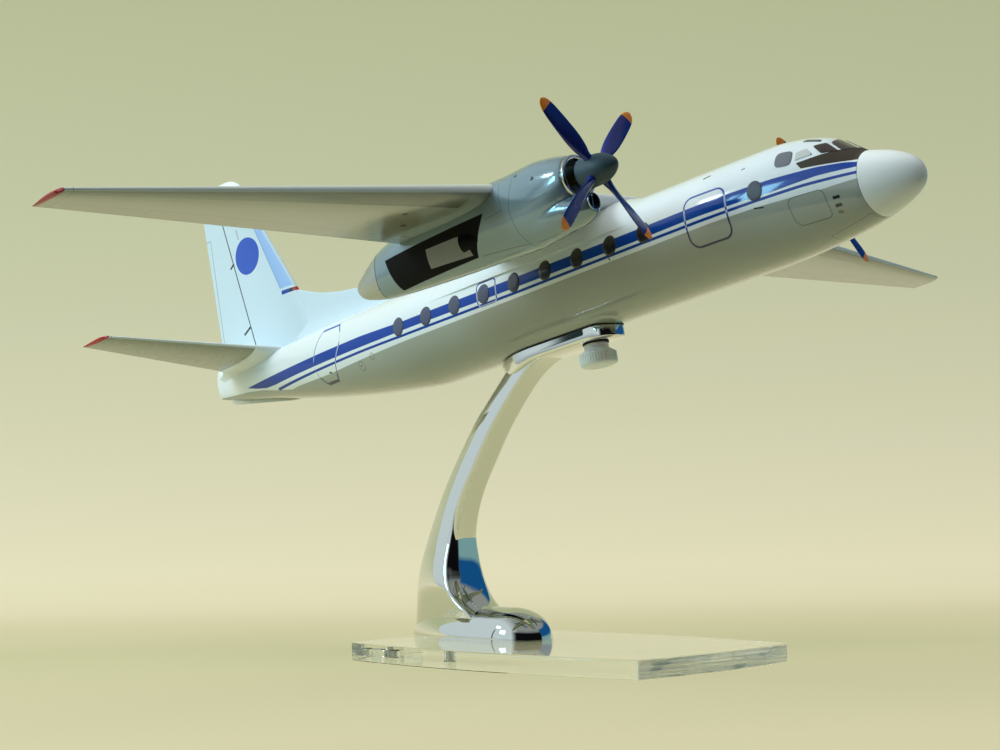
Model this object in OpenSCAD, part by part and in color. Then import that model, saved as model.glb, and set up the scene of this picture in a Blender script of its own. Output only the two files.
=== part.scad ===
// Desk model of a high-wing twin turboprop airliner on a curved stand, scale 1:72.
// Millimetres. X points to the nose, Y to the left wing tip, Z up. The origin is under the base plate.
// Aircraft pieces are drawn with stations counted aft from the nose tip and heights from the body axis.

/* [Base plate] */
// Length of the base plate between corners
base_l = 125; // [105:1:160]
// Width of the base plate between corners
base_w = 72; // [50:1:100]
// Thickness of the base plate
base_t = 6; // [5:0.5:10]
// Outward bow of each long side
bow_long = 6; // [1:0.5:12]
// Outward bow of each short side
bow_short = 3; // [0.5:0.5:8]
// Position of the foot screw along the plate
screw_x = -59; // [-61:0.5:-55]
// Position of the locating pin along the plate
pin_x = -32; // [-38:0.5:-26]
// Shank diameter of the foot screw
screw_d = 4; // [3:0.5:4.5]
// Head diameter of the foot screw
screw_head_d = 8.5; // [6.5:0.5:10]
// Head height of the foot screw
screw_head_h = 2.2; // [1.5:0.1:3]
// Diameter of the locating pin
pin_d = 4.8; // [3:0.2:6]

/* [Stand arm] */
// Position of the front of the foot
foot_nose_x = -7; // [-10:0.5:0]
// Length of the teardrop foot
foot_l = 63.5; // [58:0.5:68]
// Width of the teardrop foot
foot_w = 22; // [18:0.5:30]
// Height of the foot dome over the plate
foot_h = 10.8; // [8:0.2:16]
// Distance of the column front behind the front of the foot
arm_back = 35.5; // [30:0.5:40]
// Depth of the column at the foot
arm_foot_depth = 27; // [20:0.5:27.5]
// Width of the column in its upper part
arm_w = 10.5; // [7:0.5:12]
// Extra width of the column at the foot
arm_flare = 8; // [2:0.5:10]
// Rearward bulge of the front line of the column
arm_sag_front = 13.7; // [6:0.1:16]
// Rearward bulge of the rear line of the column
arm_sag_rear = 8; // [4:0.1:12]
// Length of the saddle
saddle_l = 49.7; // [44:0.5:60]
// Width of the saddle
saddle_w = 13; // [11:0.5:18]
// Thickness of the saddle under the belly line
saddle_t = 3.3; // [2.5:0.1:5]
// Thickness of the pad between saddle and belly
pad_t = 0.5; // [0.3:0.1:1.5]

/* [Thumb screw] */
// Thread diameter of the stud
stud_d = 4; // [3:0.5:5]
// Outside diameter of the knurled band of the knob
knob_d = 12.25; // [10:0.25:16]
// Height of the knurled band
knob_h = 3.5; // [2:0.1:6]
// Height of the shoulder cone above the band
shoulder_h = 1.2; // [0.6:0.1:2]
// Diameter of the knob neck
neck_d = 8; // [6.5:0.25:9.5]
// Height of the knob neck
neck_h = 1.8; // [1:0.1:4]
// Number of flutes around the knob
flutes = 40; // [24:2:60]
// Diameter of the washer
washer_d = 8.6; // [7:0.2:10]
// Thickness of the washer
washer_t = 0.4; // [0.3:0.1:1]
// Outside diameter of the threaded insert
insert_d = 6; // [5.6:0.2:8]
// Length of the threaded insert
insert_l = 7; // [5:0.5:9]

/* [How the aircraft sits] */
// Nose-up angle of the aircraft
climb_angle = 11.18; // [6:0.5:16]
// Station of the thumb screw
hold_s = 129.2; // [126:0.5:134]
// Position of the belly over the plate at the thumb screw, forward
belly_x = 15.8; // [10:0.5:22]
// Height of the belly over the table at the thumb screw
belly_z = 105.9; // [90:1:120]

/* [Fuselage] */
// Length of the fuselage
body_l = 323; // [318:1:340]
// Width of the cabin section
body_w = 40.2; // [39.6:0.2:44]
// Height of the cabin section
body_h = 34.4; // [33.6:0.2:38]
// Drop of the nose tip below the body axis
nose_drop = 4.75; // [3:0.25:7]
// Height of the nose deck over the nose tip
deck_h = 14; // [12:0.5:15.5]
// Station where the windscreen starts
screen_s = 16; // [15.5:0.25:17]
// Slope of the windscreen
screen_angle = 37.4; // [32:0.5:42]
// Length of the windscreen along the body
screen_l = 8.5; // [7.5:0.25:9]
// Rise of the belly line to the tail end
tail_rise = 24.5; // [20:0.5:25]
// Fall of the roof line to the tail end
tail_fall = 3.6; // [2:0.2:5]
// Wall thickness of the shells
wall = 1.6; // [1.2:0.1:2.2]
// Station of the radome joint
radome_s = 14.5; // [11:0.5:15]
// Diameter of the radome spigot
spigot_d = 10; // [6:0.5:12]

/* [Windows] */
// Width of a cabin window
win_w = 4.4; // [3.4:0.1:5]
// Height of a cabin window
win_h = 5.4; // [5:0.1:6]
// Height of the window centres over the body axis
win_z = 1.6; // [1:0.1:2.4]
// Spacing of the cabin windows
win_pitch = 13.9; // [10:0.01:13.9]
// Station of the last cabin window
win_last_s = 198.3; // [196:0.1:199]
// Number of windows in the row on each side
win_count = 9; // [3:1:9]
// Station of the single forward window
win_front_s = 43.6; // [43:0.1:52]
// How far the panes stand out of the skin
pane_proud = 0.2; // [0:0.05:0.4]
// Depth of the pockets for the cockpit panes
pane_seat = 0.9; // [0.6:0.1:1.1]

/* [Wing] */
// Wing span
span = 403.6; // [360:1:460]
// Station of the leading edge on the middle plane
wing_s = 102.8; // [101:0.2:106]
// Chord on the middle plane
root_chord = 48.8; // [46:0.2:50]
// Chord at the nacelles
nac_chord = 43.7; // [40:0.2:46]
// Chord at the tips
tip_chord = 12.1; // [8:0.1:24]
// Sweep back of the leading edge from nacelle to tip
tip_sweep = 17.6; // [8:0.2:26]
// Height of the leading edge over the roof
wing_rise = 0.9; // [0.4:0.1:2]
// Drop of the trailing edge below the leading edge at the root
wing_twist = 4.2; // [3:0.1:5]
// Drop of the tip leading edge below the nacelle leading edge
tip_drop = 7.4; // [0:0.2:12]
// Drop of the trailing edge below the leading edge at the tip
tip_twist = 0.9; // [0:0.1:3]
// Greatest thickness of the wing at the root as a part of the chord
root_thick = 0.17; // [0.14:0.005:0.18]
// Greatest thickness of the wing at the tip as a part of the chord
tip_thick = 0.12; // [0.08:0.005:0.16]
// Height of the root fairing over the roof
fairing_h = 6; // [5:0.1:8]
// Station where the root fairing starts
fairing_s = 92; // [86:0.5:94]
// Length of the root fairing
fairing_l = 90; // [80:1:96]
// Height of the fairing seat over the body axis
seat_z = 6; // [5.6:0.1:8]

/* [Tail] */
// Height of the fin over the body axis
fin_z = 86.6; // [84:0.2:100]
// Height of the fin cap joint over the body axis
cap_z = 77.5; // [70:0.5:80]
// Thickness of the fin at its foot
fin_t = 5; // [3:0.1:6]
// Span of each tailplane half from the middle plane
tailplane_y = 62.5; // [50:0.5:80]
// Station of the tailplane leading edge at the middle plane
tailplane_s = 271.1; // [268:0.5:274]
// Chord of the tailplane at the middle plane
tailplane_chord = 35.3; // [30:0.5:38]
// Chord of the tailplane at the tip
tailplane_tip = 13.2; // [8:0.2:20]
// Sweep back of the tailplane leading edge to its tip
tailplane_sweep = 35; // [28:0.5:42]
// Height of the tailplane over the body axis at the middle plane
tailplane_z = 12.4; // [12:0.1:13.2]
// Upward angle of the tailplane
tailplane_angle = 11.1; // [6:0.5:14]
// Thickness of the ventral keel
keel_t = 1.6; // [1:0.1:2.4]
// Depth of the ventral keel under the body at its rear end
keel_d = 2.6; // [1.5:0.1:5]

/* [Nacelle] */
// Distance of the nacelles from the middle plane
nac_y = 54.9; // [50:0.5:62]
// Width of a nacelle
nac_w = 16.6; // [15.6:0.2:20]
// Drop of the propeller axis below the wing leading edge
prop_drop = 4.8; // [4.4:0.1:5.2]
// Radius of the intake lip
lip_r = 6.9; // [6.5:0.1:7.2]
// Radius of the intake throat
throat_r = 5.6; // [5.2:0.1:5.8]
// Outside diameter of the oil cooler intake
cooler_d = 5.2; // [4.4:0.1:5.4]
// Outside diameter of the exhaust pipe
exhaust_d = 6; // [5:0.1:6.4]
// Wall of the exhaust pipe
exhaust_wall = 0.5; // [0.4:0.05:1]
// Station of the tail cone joint
cone_s = 163; // [160:0.5:165]

/* [Propeller] */
// Diameter of the propeller
prop_d = 54.2; // [44:0.2:60]
// Diameter of the spinner
spinner_d = 9.2; // [8.6:0.1:10.2]
// Length of the spinner
spinner_l = 12.5; // [12:0.1:13]
// Station of the spinner tip
spinner_s = 63.2; // [62.8:0.1:63.6]
// Widest chord of a blade
blade_chord = 5; // [3.5:0.1:6]
// Blade angle at six tenths of the radius
blade_pitch = 20; // [12:1:30]
// Turn of the propeller at rest
prop_turn = 45; // [0:1:89]
// Diameter of the blade root
cuff_d = 2.6; // [2:0.1:3]
// Diameter of the propeller shaft
shaft_d = 2; // [1.6:0.1:2.4]
// Outside diameter of the shaft bush
bush_d = 3.6; // [3.2:0.1:4.2]
// Outside diameter of the shaft collar
collar_d = 4.4; // [3.6:0.1:5.6]

/* [Fits] */
// Radial play of a running fit
run_gap = 0.05; // [0.02:0.01:0.1]
// Play around a tongue in its slot
slot_gap = 0.05; // [0.03:0.01:0.15]
// End play of the propeller shaft
end_play = 0.3; // [0.1:0.05:0.5]

/* [Hidden] */
half_h = body_h/2;
half_w = body_w/2;
sec_e = 2.1;
taper_s = 190;
tail_s = aft(200);
hump_s = aft(230);
nac_le = wing_s + 2.8;
prop_z = half_h + wing_rise - prop_drop;
lip_s = 77.7;
cowl_s = 79.2;
disc_s = spinner_s + 7.6;
hub_r = spinner_d/2 - 1.1;
hub_front = spinner_s + 5.2;
boss_end = 89.3;
knob_turn_pitch = 0.7;

// Piece to show

// Common helpers

function mix(a, b, t) = a + (b - a)*t;
function ease(t) = let(u = min(1, max(0, t))) u*u*(3 - 2*u);
function fill(s, l, m, n) = pow(1 - pow(1 - min(1, max(0, s)/l), m), n);
function signed_pow(v, p) = sign(v)*pow(abs(v), p);
// Point on an oval with half sizes a and h about height c, at angle q from the top
function oval(q, a, h, c, e) = [a*signed_pow(sin(q), 2/e), c + h*signed_pow(cos(q), 2/e)];

// Closed skin through rings of equal point count
module loft(rings) {
  n = len(rings[0]);
  m = len(rings);
  pts = [for (r = rings) each r];
  sides = [for (i = [0:m - 2]) for (j = [0:n - 1]) each [
    [i*n + j, (i + 1)*n + j, (i + 1)*n + (j + 1)%n],
    [i*n + j, (i + 1)*n + (j + 1)%n, i*n + (j + 1)%n]]];
  ends = [[for (j = [0:n - 1]) j], [for (j = [n - 1:-1:0]) (m - 1)*n + j]];
  polyhedron(points = pts, faces = concat(sides, ends), convexity = 8);
}

// Aircraft coordinates placed over the stand
module aircraft() {
  translate([belly_x, 0, belly_z]) rotate([0, -climb_angle, 0])
    translate([hold_s, 0, half_h]) children();
}

// Local Z runs aft from station s, local X up
module aft_axis(s, y, z) {
  translate([-s, y, z]) rotate([0, -90, 0]) children();
}

module other_side() {
  mirror([0, 1, 0]) children();
}

// World position of a point on the middle plane of the aircraft
function world_x(s, z) = belly_x + (hold_s - s)*cos(climb_angle) - (z + half_h)*sin(climb_angle);
function world_z(s, z) = belly_z + (hold_s - s)*sin(climb_angle) + (z + half_h)*cos(climb_angle);

// Fuselage lines

// Station of the tail section that moves with the length of the body
function aft(s) = taper_s + (s - taper_s)*(body_l - taper_s)/133;
function skin_w(s) = s <= taper_s ? half_w*fill(s, 65, 1.5, 0.55)
  : half_w*(1 - pow((s - taper_s)/(body_l + 9 - taper_s), 1.6));
function skin_low(s) = s < tail_s ? -nose_drop - (half_h - nose_drop)*fill(s, 58, 2, 1/2.4)
  : -half_h + tail_rise*pow((s - tail_s)/(body_l - 1 - tail_s), 1.35);
function deck(s) = -nose_drop + deck_h*fill(s, 40, 2, 1/2.2);
screen_top = deck(screen_s) + screen_l*tan(screen_angle);
function skin_top(s) = s < screen_s ? deck(s)
  : s < screen_s + screen_l ? deck(screen_s) + (s - screen_s)*tan(screen_angle)
  : s < 45 ? half_h - (half_h - screen_top)*pow((45 - s)/(45 - screen_s - screen_l), 2.2)
  : s < hump_s ? half_h
  : half_h - tail_fall*pow((s - hump_s)/(body_l - hump_s), 1.5);
function skin_mid(s) = (skin_top(s) + skin_low(s))/2;
// Skin point at station s and angle q from the roof, moved out by d
function skin(s, q, d = 0) = let(p = oval(q, skin_w(s) + d,
  (skin_top(s) - skin_low(s))/2 + d, skin_mid(s), sec_e)) [-s, p[0], p[1]];
// Half breadth of the skin at station s and height z
function breadth(s, z) = skin_w(s)*pow(max(0, 1 - pow(abs(z - skin_mid(s))
  /((skin_top(s) - skin_low(s))/2), sec_e)), 1/sec_e);

body_stations = concat([radome_s, screen_s, 18, 20, 22, screen_s + screen_l, 27, 30, 34, 38, 45, 54, 65, 75],
  [for (s = [taper_s, 205, 220, 235, 250, 265, 280, 292, 303, 312, 319]) aft(s)], [body_l]);

module skin_solid(first, last) {
  loft([for (s = body_stations) if (s >= first && s <= last) [for (q = [0:10:350]) skin(s, q)]]);
}

// Straight cabin section as a bar, grown by d
module cabin_bar(s0, s1, d) {
  translate([-s1, 0, 0]) rotate([90, 0, 90]) linear_extrude(s1 - s0)
    polygon([for (q = [0:10:350]) oval(q, half_w + d, half_h + d, 0, sec_e)]);
}

// Stand

module base_outline() {
  r_long = (pow(base_l/2, 2) + pow(bow_long, 2))/(2*bow_long);
  r_short = (pow(base_w/2, 2) + pow(bow_short, 2))/(2*bow_short);
  intersection() {
    translate([0, base_w/2 + bow_long - r_long]) circle(r = r_long, $fn = 360);
    translate([0, r_long - base_w/2 - bow_long]) circle(r = r_long, $fn = 360);
    translate([base_l/2 + bow_short - r_short, 0]) circle(r = r_short, $fn = 360);
    translate([r_short - base_l/2 - bow_short, 0]) circle(r = r_short, $fn = 360);
  }
}

module base_plate() {
  color([0.85, 0.92, 0.93]) difference() {
    linear_extrude(base_t) base_outline();
    translate([screw_x, 0, -1]) cylinder(d = screw_d + 0.4, h = base_t + 2, $fn = 48);
    translate([screw_x, 0, -1]) cylinder(d = screw_head_d + 0.4, h = screw_head_h + 1.2, $fn = 48);
    translate([pin_x, 0, -1]) cylinder(d = pin_d, h = base_t + 2, $fn = 48);
  }
}

module base_screw() {
  color([0.75, 0.76, 0.78]) difference() {
    union() {
      translate([screw_x, 0, 0.2]) cylinder(d = screw_head_d, h = screw_head_h, $fn = 48);
      translate([screw_x, 0, screw_head_h]) cylinder(d = screw_d, h = base_t + 8 - screw_head_h, $fn = 48);
    }
    translate([screw_x - 0.6, -screw_head_d/2 - 1, 0]) cube([1.2, screw_head_d + 2, 1.1]);
  }
}

module base_pin() {
  color([0.75, 0.76, 0.78]) translate([pin_x, 0, 0.2]) cylinder(d = pin_d, h = base_t + 5.8, $fn = 48);
}

// Rising teardrop outline of the foot at relative height u
function foot_ring(u) = let(cx = foot_nose_x - 15, k = pow(1 - u*u, 0.6), kr = pow(1 - u*u, 0.15),
  b = k*foot_w/2, l = (foot_l - 15)*kr, z = base_t + foot_h*u) concat(
  [for (v = [1:-0.125:0.125]) [cx - l*v, -b*(1 - pow(v, 1.8)), z]],
  [for (a = [-90:15:90]) [cx + 15*k*cos(a), b*sin(a), z]],
  [for (v = [0.125:0.125:0.875]) [cx - l*v, b*(1 - pow(v, 1.8)), z]]);

// Flat-fronted section of the column at relative height t
saddle_mid = -half_h - pad_t - saddle_t*0.6;
arm_end_s = hold_s + 39;
function arm_ring(t) = let(
  fx = mix(foot_nose_x - arm_back, world_x(arm_end_s - 12, saddle_mid), t) - arm_sag_front*4*t*(1 - t),
  fz = mix(base_t, world_z(arm_end_s - 12, saddle_mid), t),
  rx = mix(foot_nose_x - arm_back - arm_foot_depth, world_x(arm_end_s - 0.6, saddle_mid), t)
    - arm_sag_rear*4*t*(1 - t),
  rz = mix(base_t, world_z(arm_end_s - 0.6, saddle_mid), t),
  w = arm_w + arm_flare*min(1, pow(max(0, (0.6 - t)/0.49), 1.5)),
  e = mix(1.5, 2, min(1, t*1.6)))
  [for (a = [0:10:180]) let(d = signed_pow(sin(a), 2/e))
    [mix(fx, rx, d), w/2*signed_pow(cos(a), 2/e), mix(fz, rz, d)]];

// Boat-shaped outline of the saddle, seen from above
function boat(u) = u < 0.12 ? sqrt(1 - pow(1 - u/0.12, 2)) : u < 0.55 ? 1 : 1 - pow((u - 0.55)/0.45, 3.2);
module saddle_outline() {
  steps = [0, 0.01, 0.03, 0.06, 0.09, 0.12, 0.55, 0.63, 0.7, 0.77, 0.83, 0.89, 0.94, 0.98, 1];
  s0 = arm_end_s - saddle_l;
  polygon(concat([for (u = steps) [-s0 - u*saddle_l, boat(u)*saddle_w/2]],
    [for (i = [len(steps) - 2:-1:1]) [-s0 - steps[i]*saddle_l, -boat(steps[i])*saddle_w/2]]));
}

module stand_arm() {
  color([0.82, 0.83, 0.85]) difference() {
    union() {
      loft([for (u = [0, 0.2, 0.4, 0.58, 0.73, 0.85, 0.94, 0.985]) foot_ring(u)]);
      loft([for (i = [0:22]) arm_ring(i/22)]);
      aircraft() difference() {
        translate([0, 0, -half_h - pad_t - saddle_t]) linear_extrude(saddle_t + 2.2) saddle_outline();
        cabin_bar(80, 188, pad_t);
      }
    }
    translate([screw_x, 0, -1]) cylinder(d = screw_d, h = base_t + 9.5, $fn = 48);
    translate([pin_x, 0, -1]) cylinder(d = pin_d, h = base_t + 7.5, $fn = 48);
    aircraft() translate([-hold_s, 0, -half_h - 12]) cylinder(d = stud_d + 0.6, h = 14, $fn = 48);
  }
}

module saddle_pad() {
  color([0.1, 0.1, 0.11]) aircraft() difference() {
    intersection() {
      translate([0, 0, -half_h - pad_t - 1]) linear_extrude(3.2) saddle_outline();
      cabin_bar(80, 188, pad_t);
    }
    cabin_bar(79, 189, 0);
    translate([-hold_s, 0, -half_h - 12]) cylinder(d = stud_d + 0.8, h = 14, $fn = 48);
  }
}

// Thumb screw, drawn with its axis up and the saddle underside at height zero

module at_screw() {
  aircraft() translate([-hold_s, 0, -half_h - pad_t - saddle_t]) children();
}

module screw_washer() {
  color([0.08, 0.08, 0.09]) at_screw() translate([0, 0, -washer_t]) difference() {
    cylinder(d = washer_d, h = washer_t, $fn = 64);
    translate([0, 0, -1]) cylinder(d = stud_d + 0.2, h = washer_t + 2, $fn = 48);
  }
}

module thumb_knob() {
  top = -washer_t;
  low = top - neck_h - shoulder_h;
  color([0.93, 0.93, 0.9]) at_screw() difference() {
    union() {
      translate([0, 0, top - neck_h]) cylinder(d = neck_d, h = neck_h, $fn = 64);
      translate([0, 0, low]) cylinder(d1 = knob_d - 0.8, d2 = neck_d, h = shoulder_h, $fn = 64);
      translate([0, 0, low - knob_h]) linear_extrude(knob_h) polygon([for (i = [0:2*flutes - 1])
        (knob_d/2 - 0.35*(i%2))*[cos(i*180/flutes), sin(i*180/flutes)]]);
      translate([0, 0, low - knob_h - 0.8]) cylinder(d1 = knob_d - 3, d2 = knob_d - 0.8, h = 0.8, $fn = 64);
    }
    translate([0, 0, low - knob_h + 1]) cylinder(d = stud_d, h = 20, $fn = 48);
  }
}

module thumb_stud() {
  base = -washer_t - neck_h - shoulder_h - knob_h + 1;
  top = pad_t + saddle_t + wall + insert_l - 1;
  color([0.72, 0.73, 0.75]) at_screw() union() {
    translate([0, 0, base]) cylinder(d = stud_d, h = top - base - 0.5, $fn = 48);
    translate([0, 0, top - 0.5]) cylinder(d1 = stud_d, d2 = stud_d - 1, h = 0.5, $fn = 48);
  }
}

module belly_insert() {
  color([0.8, 0.65, 0.3]) aircraft() translate([-hold_s, 0, -half_h + wall]) difference() {
    cylinder(d = insert_d, h = insert_l, $fn = 48);
    translate([0, 0, -1]) cylinder(d = stud_d + 2*run_gap, h = insert_l + 2, $fn = 48);
  }
}

module belly_block() {
  color([0.6, 0.6, 0.58]) aircraft() difference() {
    intersection() {
      translate([-hold_s - 9, -6.5, -half_h]) cube([18, 13, wall + insert_l + 1.5]);
      cabin_bar(80, 188, -wall);
    }
    translate([-hold_s, 0, -half_h]) cylinder(d = insert_d, h = wall + insert_l, $fn = 48);
  }
}

// Windows

// Cockpit panes of the left side as corners of station and angle from the roof
panes = [
  [[23.3, 28.2], [23.7, 4.5], [16.9, 7], [19.3, 36.5]],
  [[27.5, 41.5], [24, 31.8], [20, 39.8], [24.3, 54.2]],
  [[31.9, 52], [29, 45.5], [26.6, 56.4], [31.8, 63]],
  [[31.8, 30.5], [31.3, 24.5], [26.4, 25], [26.2, 30.5]]];
// Rounded panes as station, angle, half length, half angle
round_panes = [[35.5, 57.3, 2.9, 10.2]];

function inset(c, k) = let(m = (c[0] + c[1] + c[2] + c[3])/4) [for (p = c) m + (p - m)*k];
function patch_point(c, i, j, d) = let(p = mix(mix(c[0], c[1], i/3), mix(c[3], c[2], i/3), j/3))
  skin(p[0], p[1], d);

// Four-cornered plate that follows the skin between depths d0 and d1
module skin_patch(c, d0, d1) {
  outer = [for (j = [0:3]) for (i = [0:3]) patch_point(c, i, j, d1)];
  inner = [for (j = [0:3]) for (i = [0:3]) patch_point(c, i, j, d0)];
  rim = [0, 1, 2, 3, 7, 11, 15, 14, 13, 12, 8, 4];
  grid = [for (j = [0:2]) for (i = [0:2]) each [
    [4*j + i, 4*j + i + 1, 4*j + i + 5], [4*j + i, 4*j + i + 5, 4*j + i + 4]]];
  polyhedron(points = concat(outer, inner), convexity = 4, faces = concat(
    [for (f = grid) [f[0], f[2], f[1]]],
    [for (f = grid) [f[0] + 16, f[1] + 16, f[2] + 16]],
    [for (k = [0:11]) each [[rim[k], rim[(k + 1)%12], rim[(k + 1)%12] + 16],
      [rim[k], rim[(k + 1)%12] + 16, rim[k] + 16]]]));
}

// Rounded plate that follows the skin
module skin_oval(o, k, d0, d1) {
  n = 20;
  rim = [for (i = [0:n - 1]) let(a = i*360/n) [o[0] + k*o[2]*signed_pow(cos(a), 0.7),
    o[1] + k*o[3]*signed_pow(sin(a), 0.7)]];
  mid = [for (p = rim) ([o[0], o[1]] + p)/2];
  outer = concat([for (p = rim) skin(p[0], p[1], d1)], [for (p = mid) skin(p[0], p[1], d1)],
    [skin(o[0], o[1], d1)]);
  inner = concat([for (p = rim) skin(p[0], p[1], d0)], [for (p = mid) skin(p[0], p[1], d0)],
    [skin(o[0], o[1], d0)]);
  m = 2*n + 1;
  face = [for (i = [0:n - 1]) let(j = (i + 1)%n) each [
    [i, j, j + n], [i, j + n, i + n], [i + n, j + n, 2*n]]];
  polyhedron(points = concat(outer, inner), convexity = 4, faces = concat(
    face, [for (f = face) [f[0] + m, f[2] + m, f[1] + m]],
    [for (i = [0:n - 1]) let(j = (i + 1)%n) each [[i, i + m, j + m], [i, j + m, j]]]));
}

front_window = [win_front_s, acos(pow((win_z + 1.1 - skin_mid(win_front_s))
  /((skin_top(win_front_s) - skin_low(win_front_s))/2), sec_e/2)), win_w/2, win_h*1.75];

module cockpit_panes(k, d0, d1) {
  for (c = panes) skin_patch(inset(c, k), d0, d1);
  for (o = round_panes) skin_oval(o, k, d0, d1);
}

module cockpit_windows() {
  color([0.2, 0.23, 0.28]) aircraft() {
    cockpit_panes(1, -pane_seat, pane_proud);
    other_side() cockpit_panes(1, -pane_seat, pane_proud);
  }
}

function window_s(i) = win_last_s - i*win_pitch;

module window_outline(grow) {
  r = win_w/2 + grow;
  reach = (win_h - win_w)/2;
  union() {
    translate([0, reach]) circle(r = r, $fn = 40);
    translate([0, -reach]) circle(r = r, $fn = 40);
    translate([-r, -reach]) square([2*r, 2*reach]);
  }
}

module window_bar(s, z, y0, y1, grow) {
  translate([-s, y1, z]) rotate([90, 0, 0]) linear_extrude(y1 - y0) window_outline(grow);
}

// Glazing strip behind the wall with raised panes that fill the holes
strip_y = half_w - wall - 2.2;
module cabin_windows() {
  union() {
    translate([-win_last_s - 3.4, strip_y - 0.8, win_z - 3.4])
      cube([(win_count - 1)*win_pitch + 6.8, 0.8, 6.8]);
    for (i = [0:win_count - 1]) window_bar(window_s(i), win_z, strip_y - 0.4,
      breadth(window_s(i), win_z) + pane_proud, 0);
  }
  skin_oval(front_window, 1, -pane_seat, pane_proud);
}

module cabin_windows_left() {
  color([0.18, 0.2, 0.26]) aircraft() cabin_windows();
}
module cabin_windows_right() {
  color([0.18, 0.2, 0.26]) aircraft() other_side() cabin_windows();
}

// Fuselage shells

module cavity() {
  rings = concat([18.5, 22, 25, 30, 38, 48, 60, 75], [for (s = [taper_s, 205, 220, 235, 250, 265, 278]) aft(s)]);
  loft([for (s = rings) [for (q = [0:10:350]) skin(s, q, -wall)]]);
}

module shell_half() {
  mid_14 = skin_mid(radome_s);
  difference() {
    loft([for (s = body_stations) [for (q = [0:10:180]) skin(s, q)]]);
    cavity();
    translate([-fairing_s - fairing_l, -1, seat_z]) cube([fairing_l, half_w + 2, half_h]);
    for (i = [0:win_count - 1]) window_bar(window_s(i), win_z, strip_y - 1, half_w + 2, 0.02);
    skin_oval(front_window, 1.01, -pane_seat, 1);
    cockpit_panes(1.01, -pane_seat, 1);
    aft_axis(radome_s - 1, 0, mid_14) cylinder(d = spigot_d + 0.1, h = 6, $fn = 48);
    translate([-hold_s, 0, -half_h - 2]) cylinder(d = insert_d, h = 6, $fn = 48);
    fin_tongue(slot_gap);
    tailplane_tongue(slot_gap);
  }
}

module fuselage_left() {
  color([0.93, 0.94, 0.93]) aircraft() shell_half();
}
module fuselage_right() {
  color([0.93, 0.94, 0.93]) aircraft() other_side() shell_half();
}

module nose_radome() {
  color([0.95, 0.95, 0.94]) aircraft() union() {
    loft([for (s = [0.05, 0.4, 1.4, 3, 5.4, 8.4, 11.4, radome_s]) [for (q = [0:10:350]) skin(s, q)]]);
    aft_axis(radome_s - 0.5, 0, skin_mid(radome_s)) cylinder(d = spigot_d, h = 4.2, $fn = 48);
  }
}

// Wing

// Half thickness of the section at part x of the chord, for a greatest thickness of one
function foil(x) = 5*(0.2969*sqrt(x) - 0.126*x - 0.3516*x*x + 0.2843*pow(x, 3) - 0.1036*pow(x, 4)) + 0.03*x;
function camber(x) = 0.08*x*(1 - x);
foil_steps = [0, 0.008, 0.03, 0.07, 0.13, 0.21, 0.32, 0.46, 0.62, 0.8, 1];
// Section between leading edge le and trailing edge te, both as station and height
function foil_ring(y, le, te, thick, bend) = let(c = te[0] - le[0], n = len(foil_steps)) concat(
  [for (i = [n - 1:-1:0]) let(x = foil_steps[i])
    [-le[0] - x*c, y, mix(le[1], te[1], x) + c*(bend*camber(x) + thick*foil(x))]],
  [for (i = [1:n - 1]) let(x = foil_steps[i])
    [-le[0] - x*c, y, mix(le[1], te[1], x) + c*(bend*camber(x) - thick*foil(x))]]);

wing_z = half_h + wing_rise;
tip_y = span/2;
function inner(y) = min(1, abs(y)/nac_y);
function outer(y) = max(0, (abs(y) - nac_y)/(tip_y - nac_y));
function tip_round(y) = let(d = max(0, abs(y) - tip_y + 5)/5) sqrt(max(0.03, 1 - d*d));
function wing_le(y) = [wing_s + (nac_le - wing_s)*inner(y) + tip_sweep*outer(y), wing_z - tip_drop*outer(y)];
function wing_chord(y) = mix(mix(root_chord, nac_chord, inner(y)), tip_chord, outer(y));
function wing_te(y) = [wing_le(y)[0] + wing_chord(y), wing_le(y)[1] - mix(wing_twist, tip_twist, outer(y))];
function wing_ring(y) = let(a = wing_le(y), b = wing_te(y), k = tip_round(y), m = mix(a, b, 0.55))
  foil_ring(y, m + (a - m)*k, m + (b - m)*k, mix(root_thick, tip_thick, outer(y)), 1);

// Root fairing as a swelling of the roof
function swell(s) = ease((s - fairing_s)/31)*ease((fairing_s + fairing_l - s)/36);
function fairing_ring(s) = let(g = swell(s), h = half_h + fairing_h*g, e = sec_e + 0.4*g,
  qc = acos(pow(seat_z/h, e/2))) [for (i = [0:24]) let(p = oval(mix(-qc, qc, i/24), half_w, h, 0, e))
    [-s, p[0], p[1]]];

wing_tongue_s = wing_s + 11;
// Tongue in the chord plane at the nacelle, from distance y0 to y1 off the middle plane
module wing_tongue(y0, y1, g) {
  translate([-wing_tongue_s - 16 - g, y0, wing_z - 2.9 - g]) cube([16 + 2*g, y1 - y0, 2 + 2*g]);
}

module wing_center() {
  color([0.9, 0.92, 0.91]) aircraft() union() {
    difference() {
      loft([for (y = [-nac_y + 3, -38, -20, 0, 20, 38, nac_y - 3]) wing_ring(y)]);
      nacelle_skin();
      other_side() nacelle_skin();
    }
    loft([for (i = [0:22]) fairing_ring(fairing_s + fairing_l*i/22)]);
    wing_tongue(nac_y - 10, nac_y - 3.5, 0);
    other_side() wing_tongue(nac_y - 10, nac_y - 3.5, 0);
  }
}

module wing_panel() {
  union() {
    difference() {
      loft([for (y = [nac_y + 3, 75, 100, 130, 160, 185, tip_y - 5, tip_y - 3, tip_y - 1.4, tip_y - 0.4, tip_y])
        wing_ring(y)]);
      nacelle_skin();
    }
    wing_tongue(nac_y + 3.5, nac_y + 10, 0);
  }
}

module wing_left() {
  color([0.85, 0.87, 0.86]) aircraft() wing_panel();
}
module wing_right() {
  color([0.85, 0.87, 0.86]) aircraft() other_side() wing_panel();
}

// Tail

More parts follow.
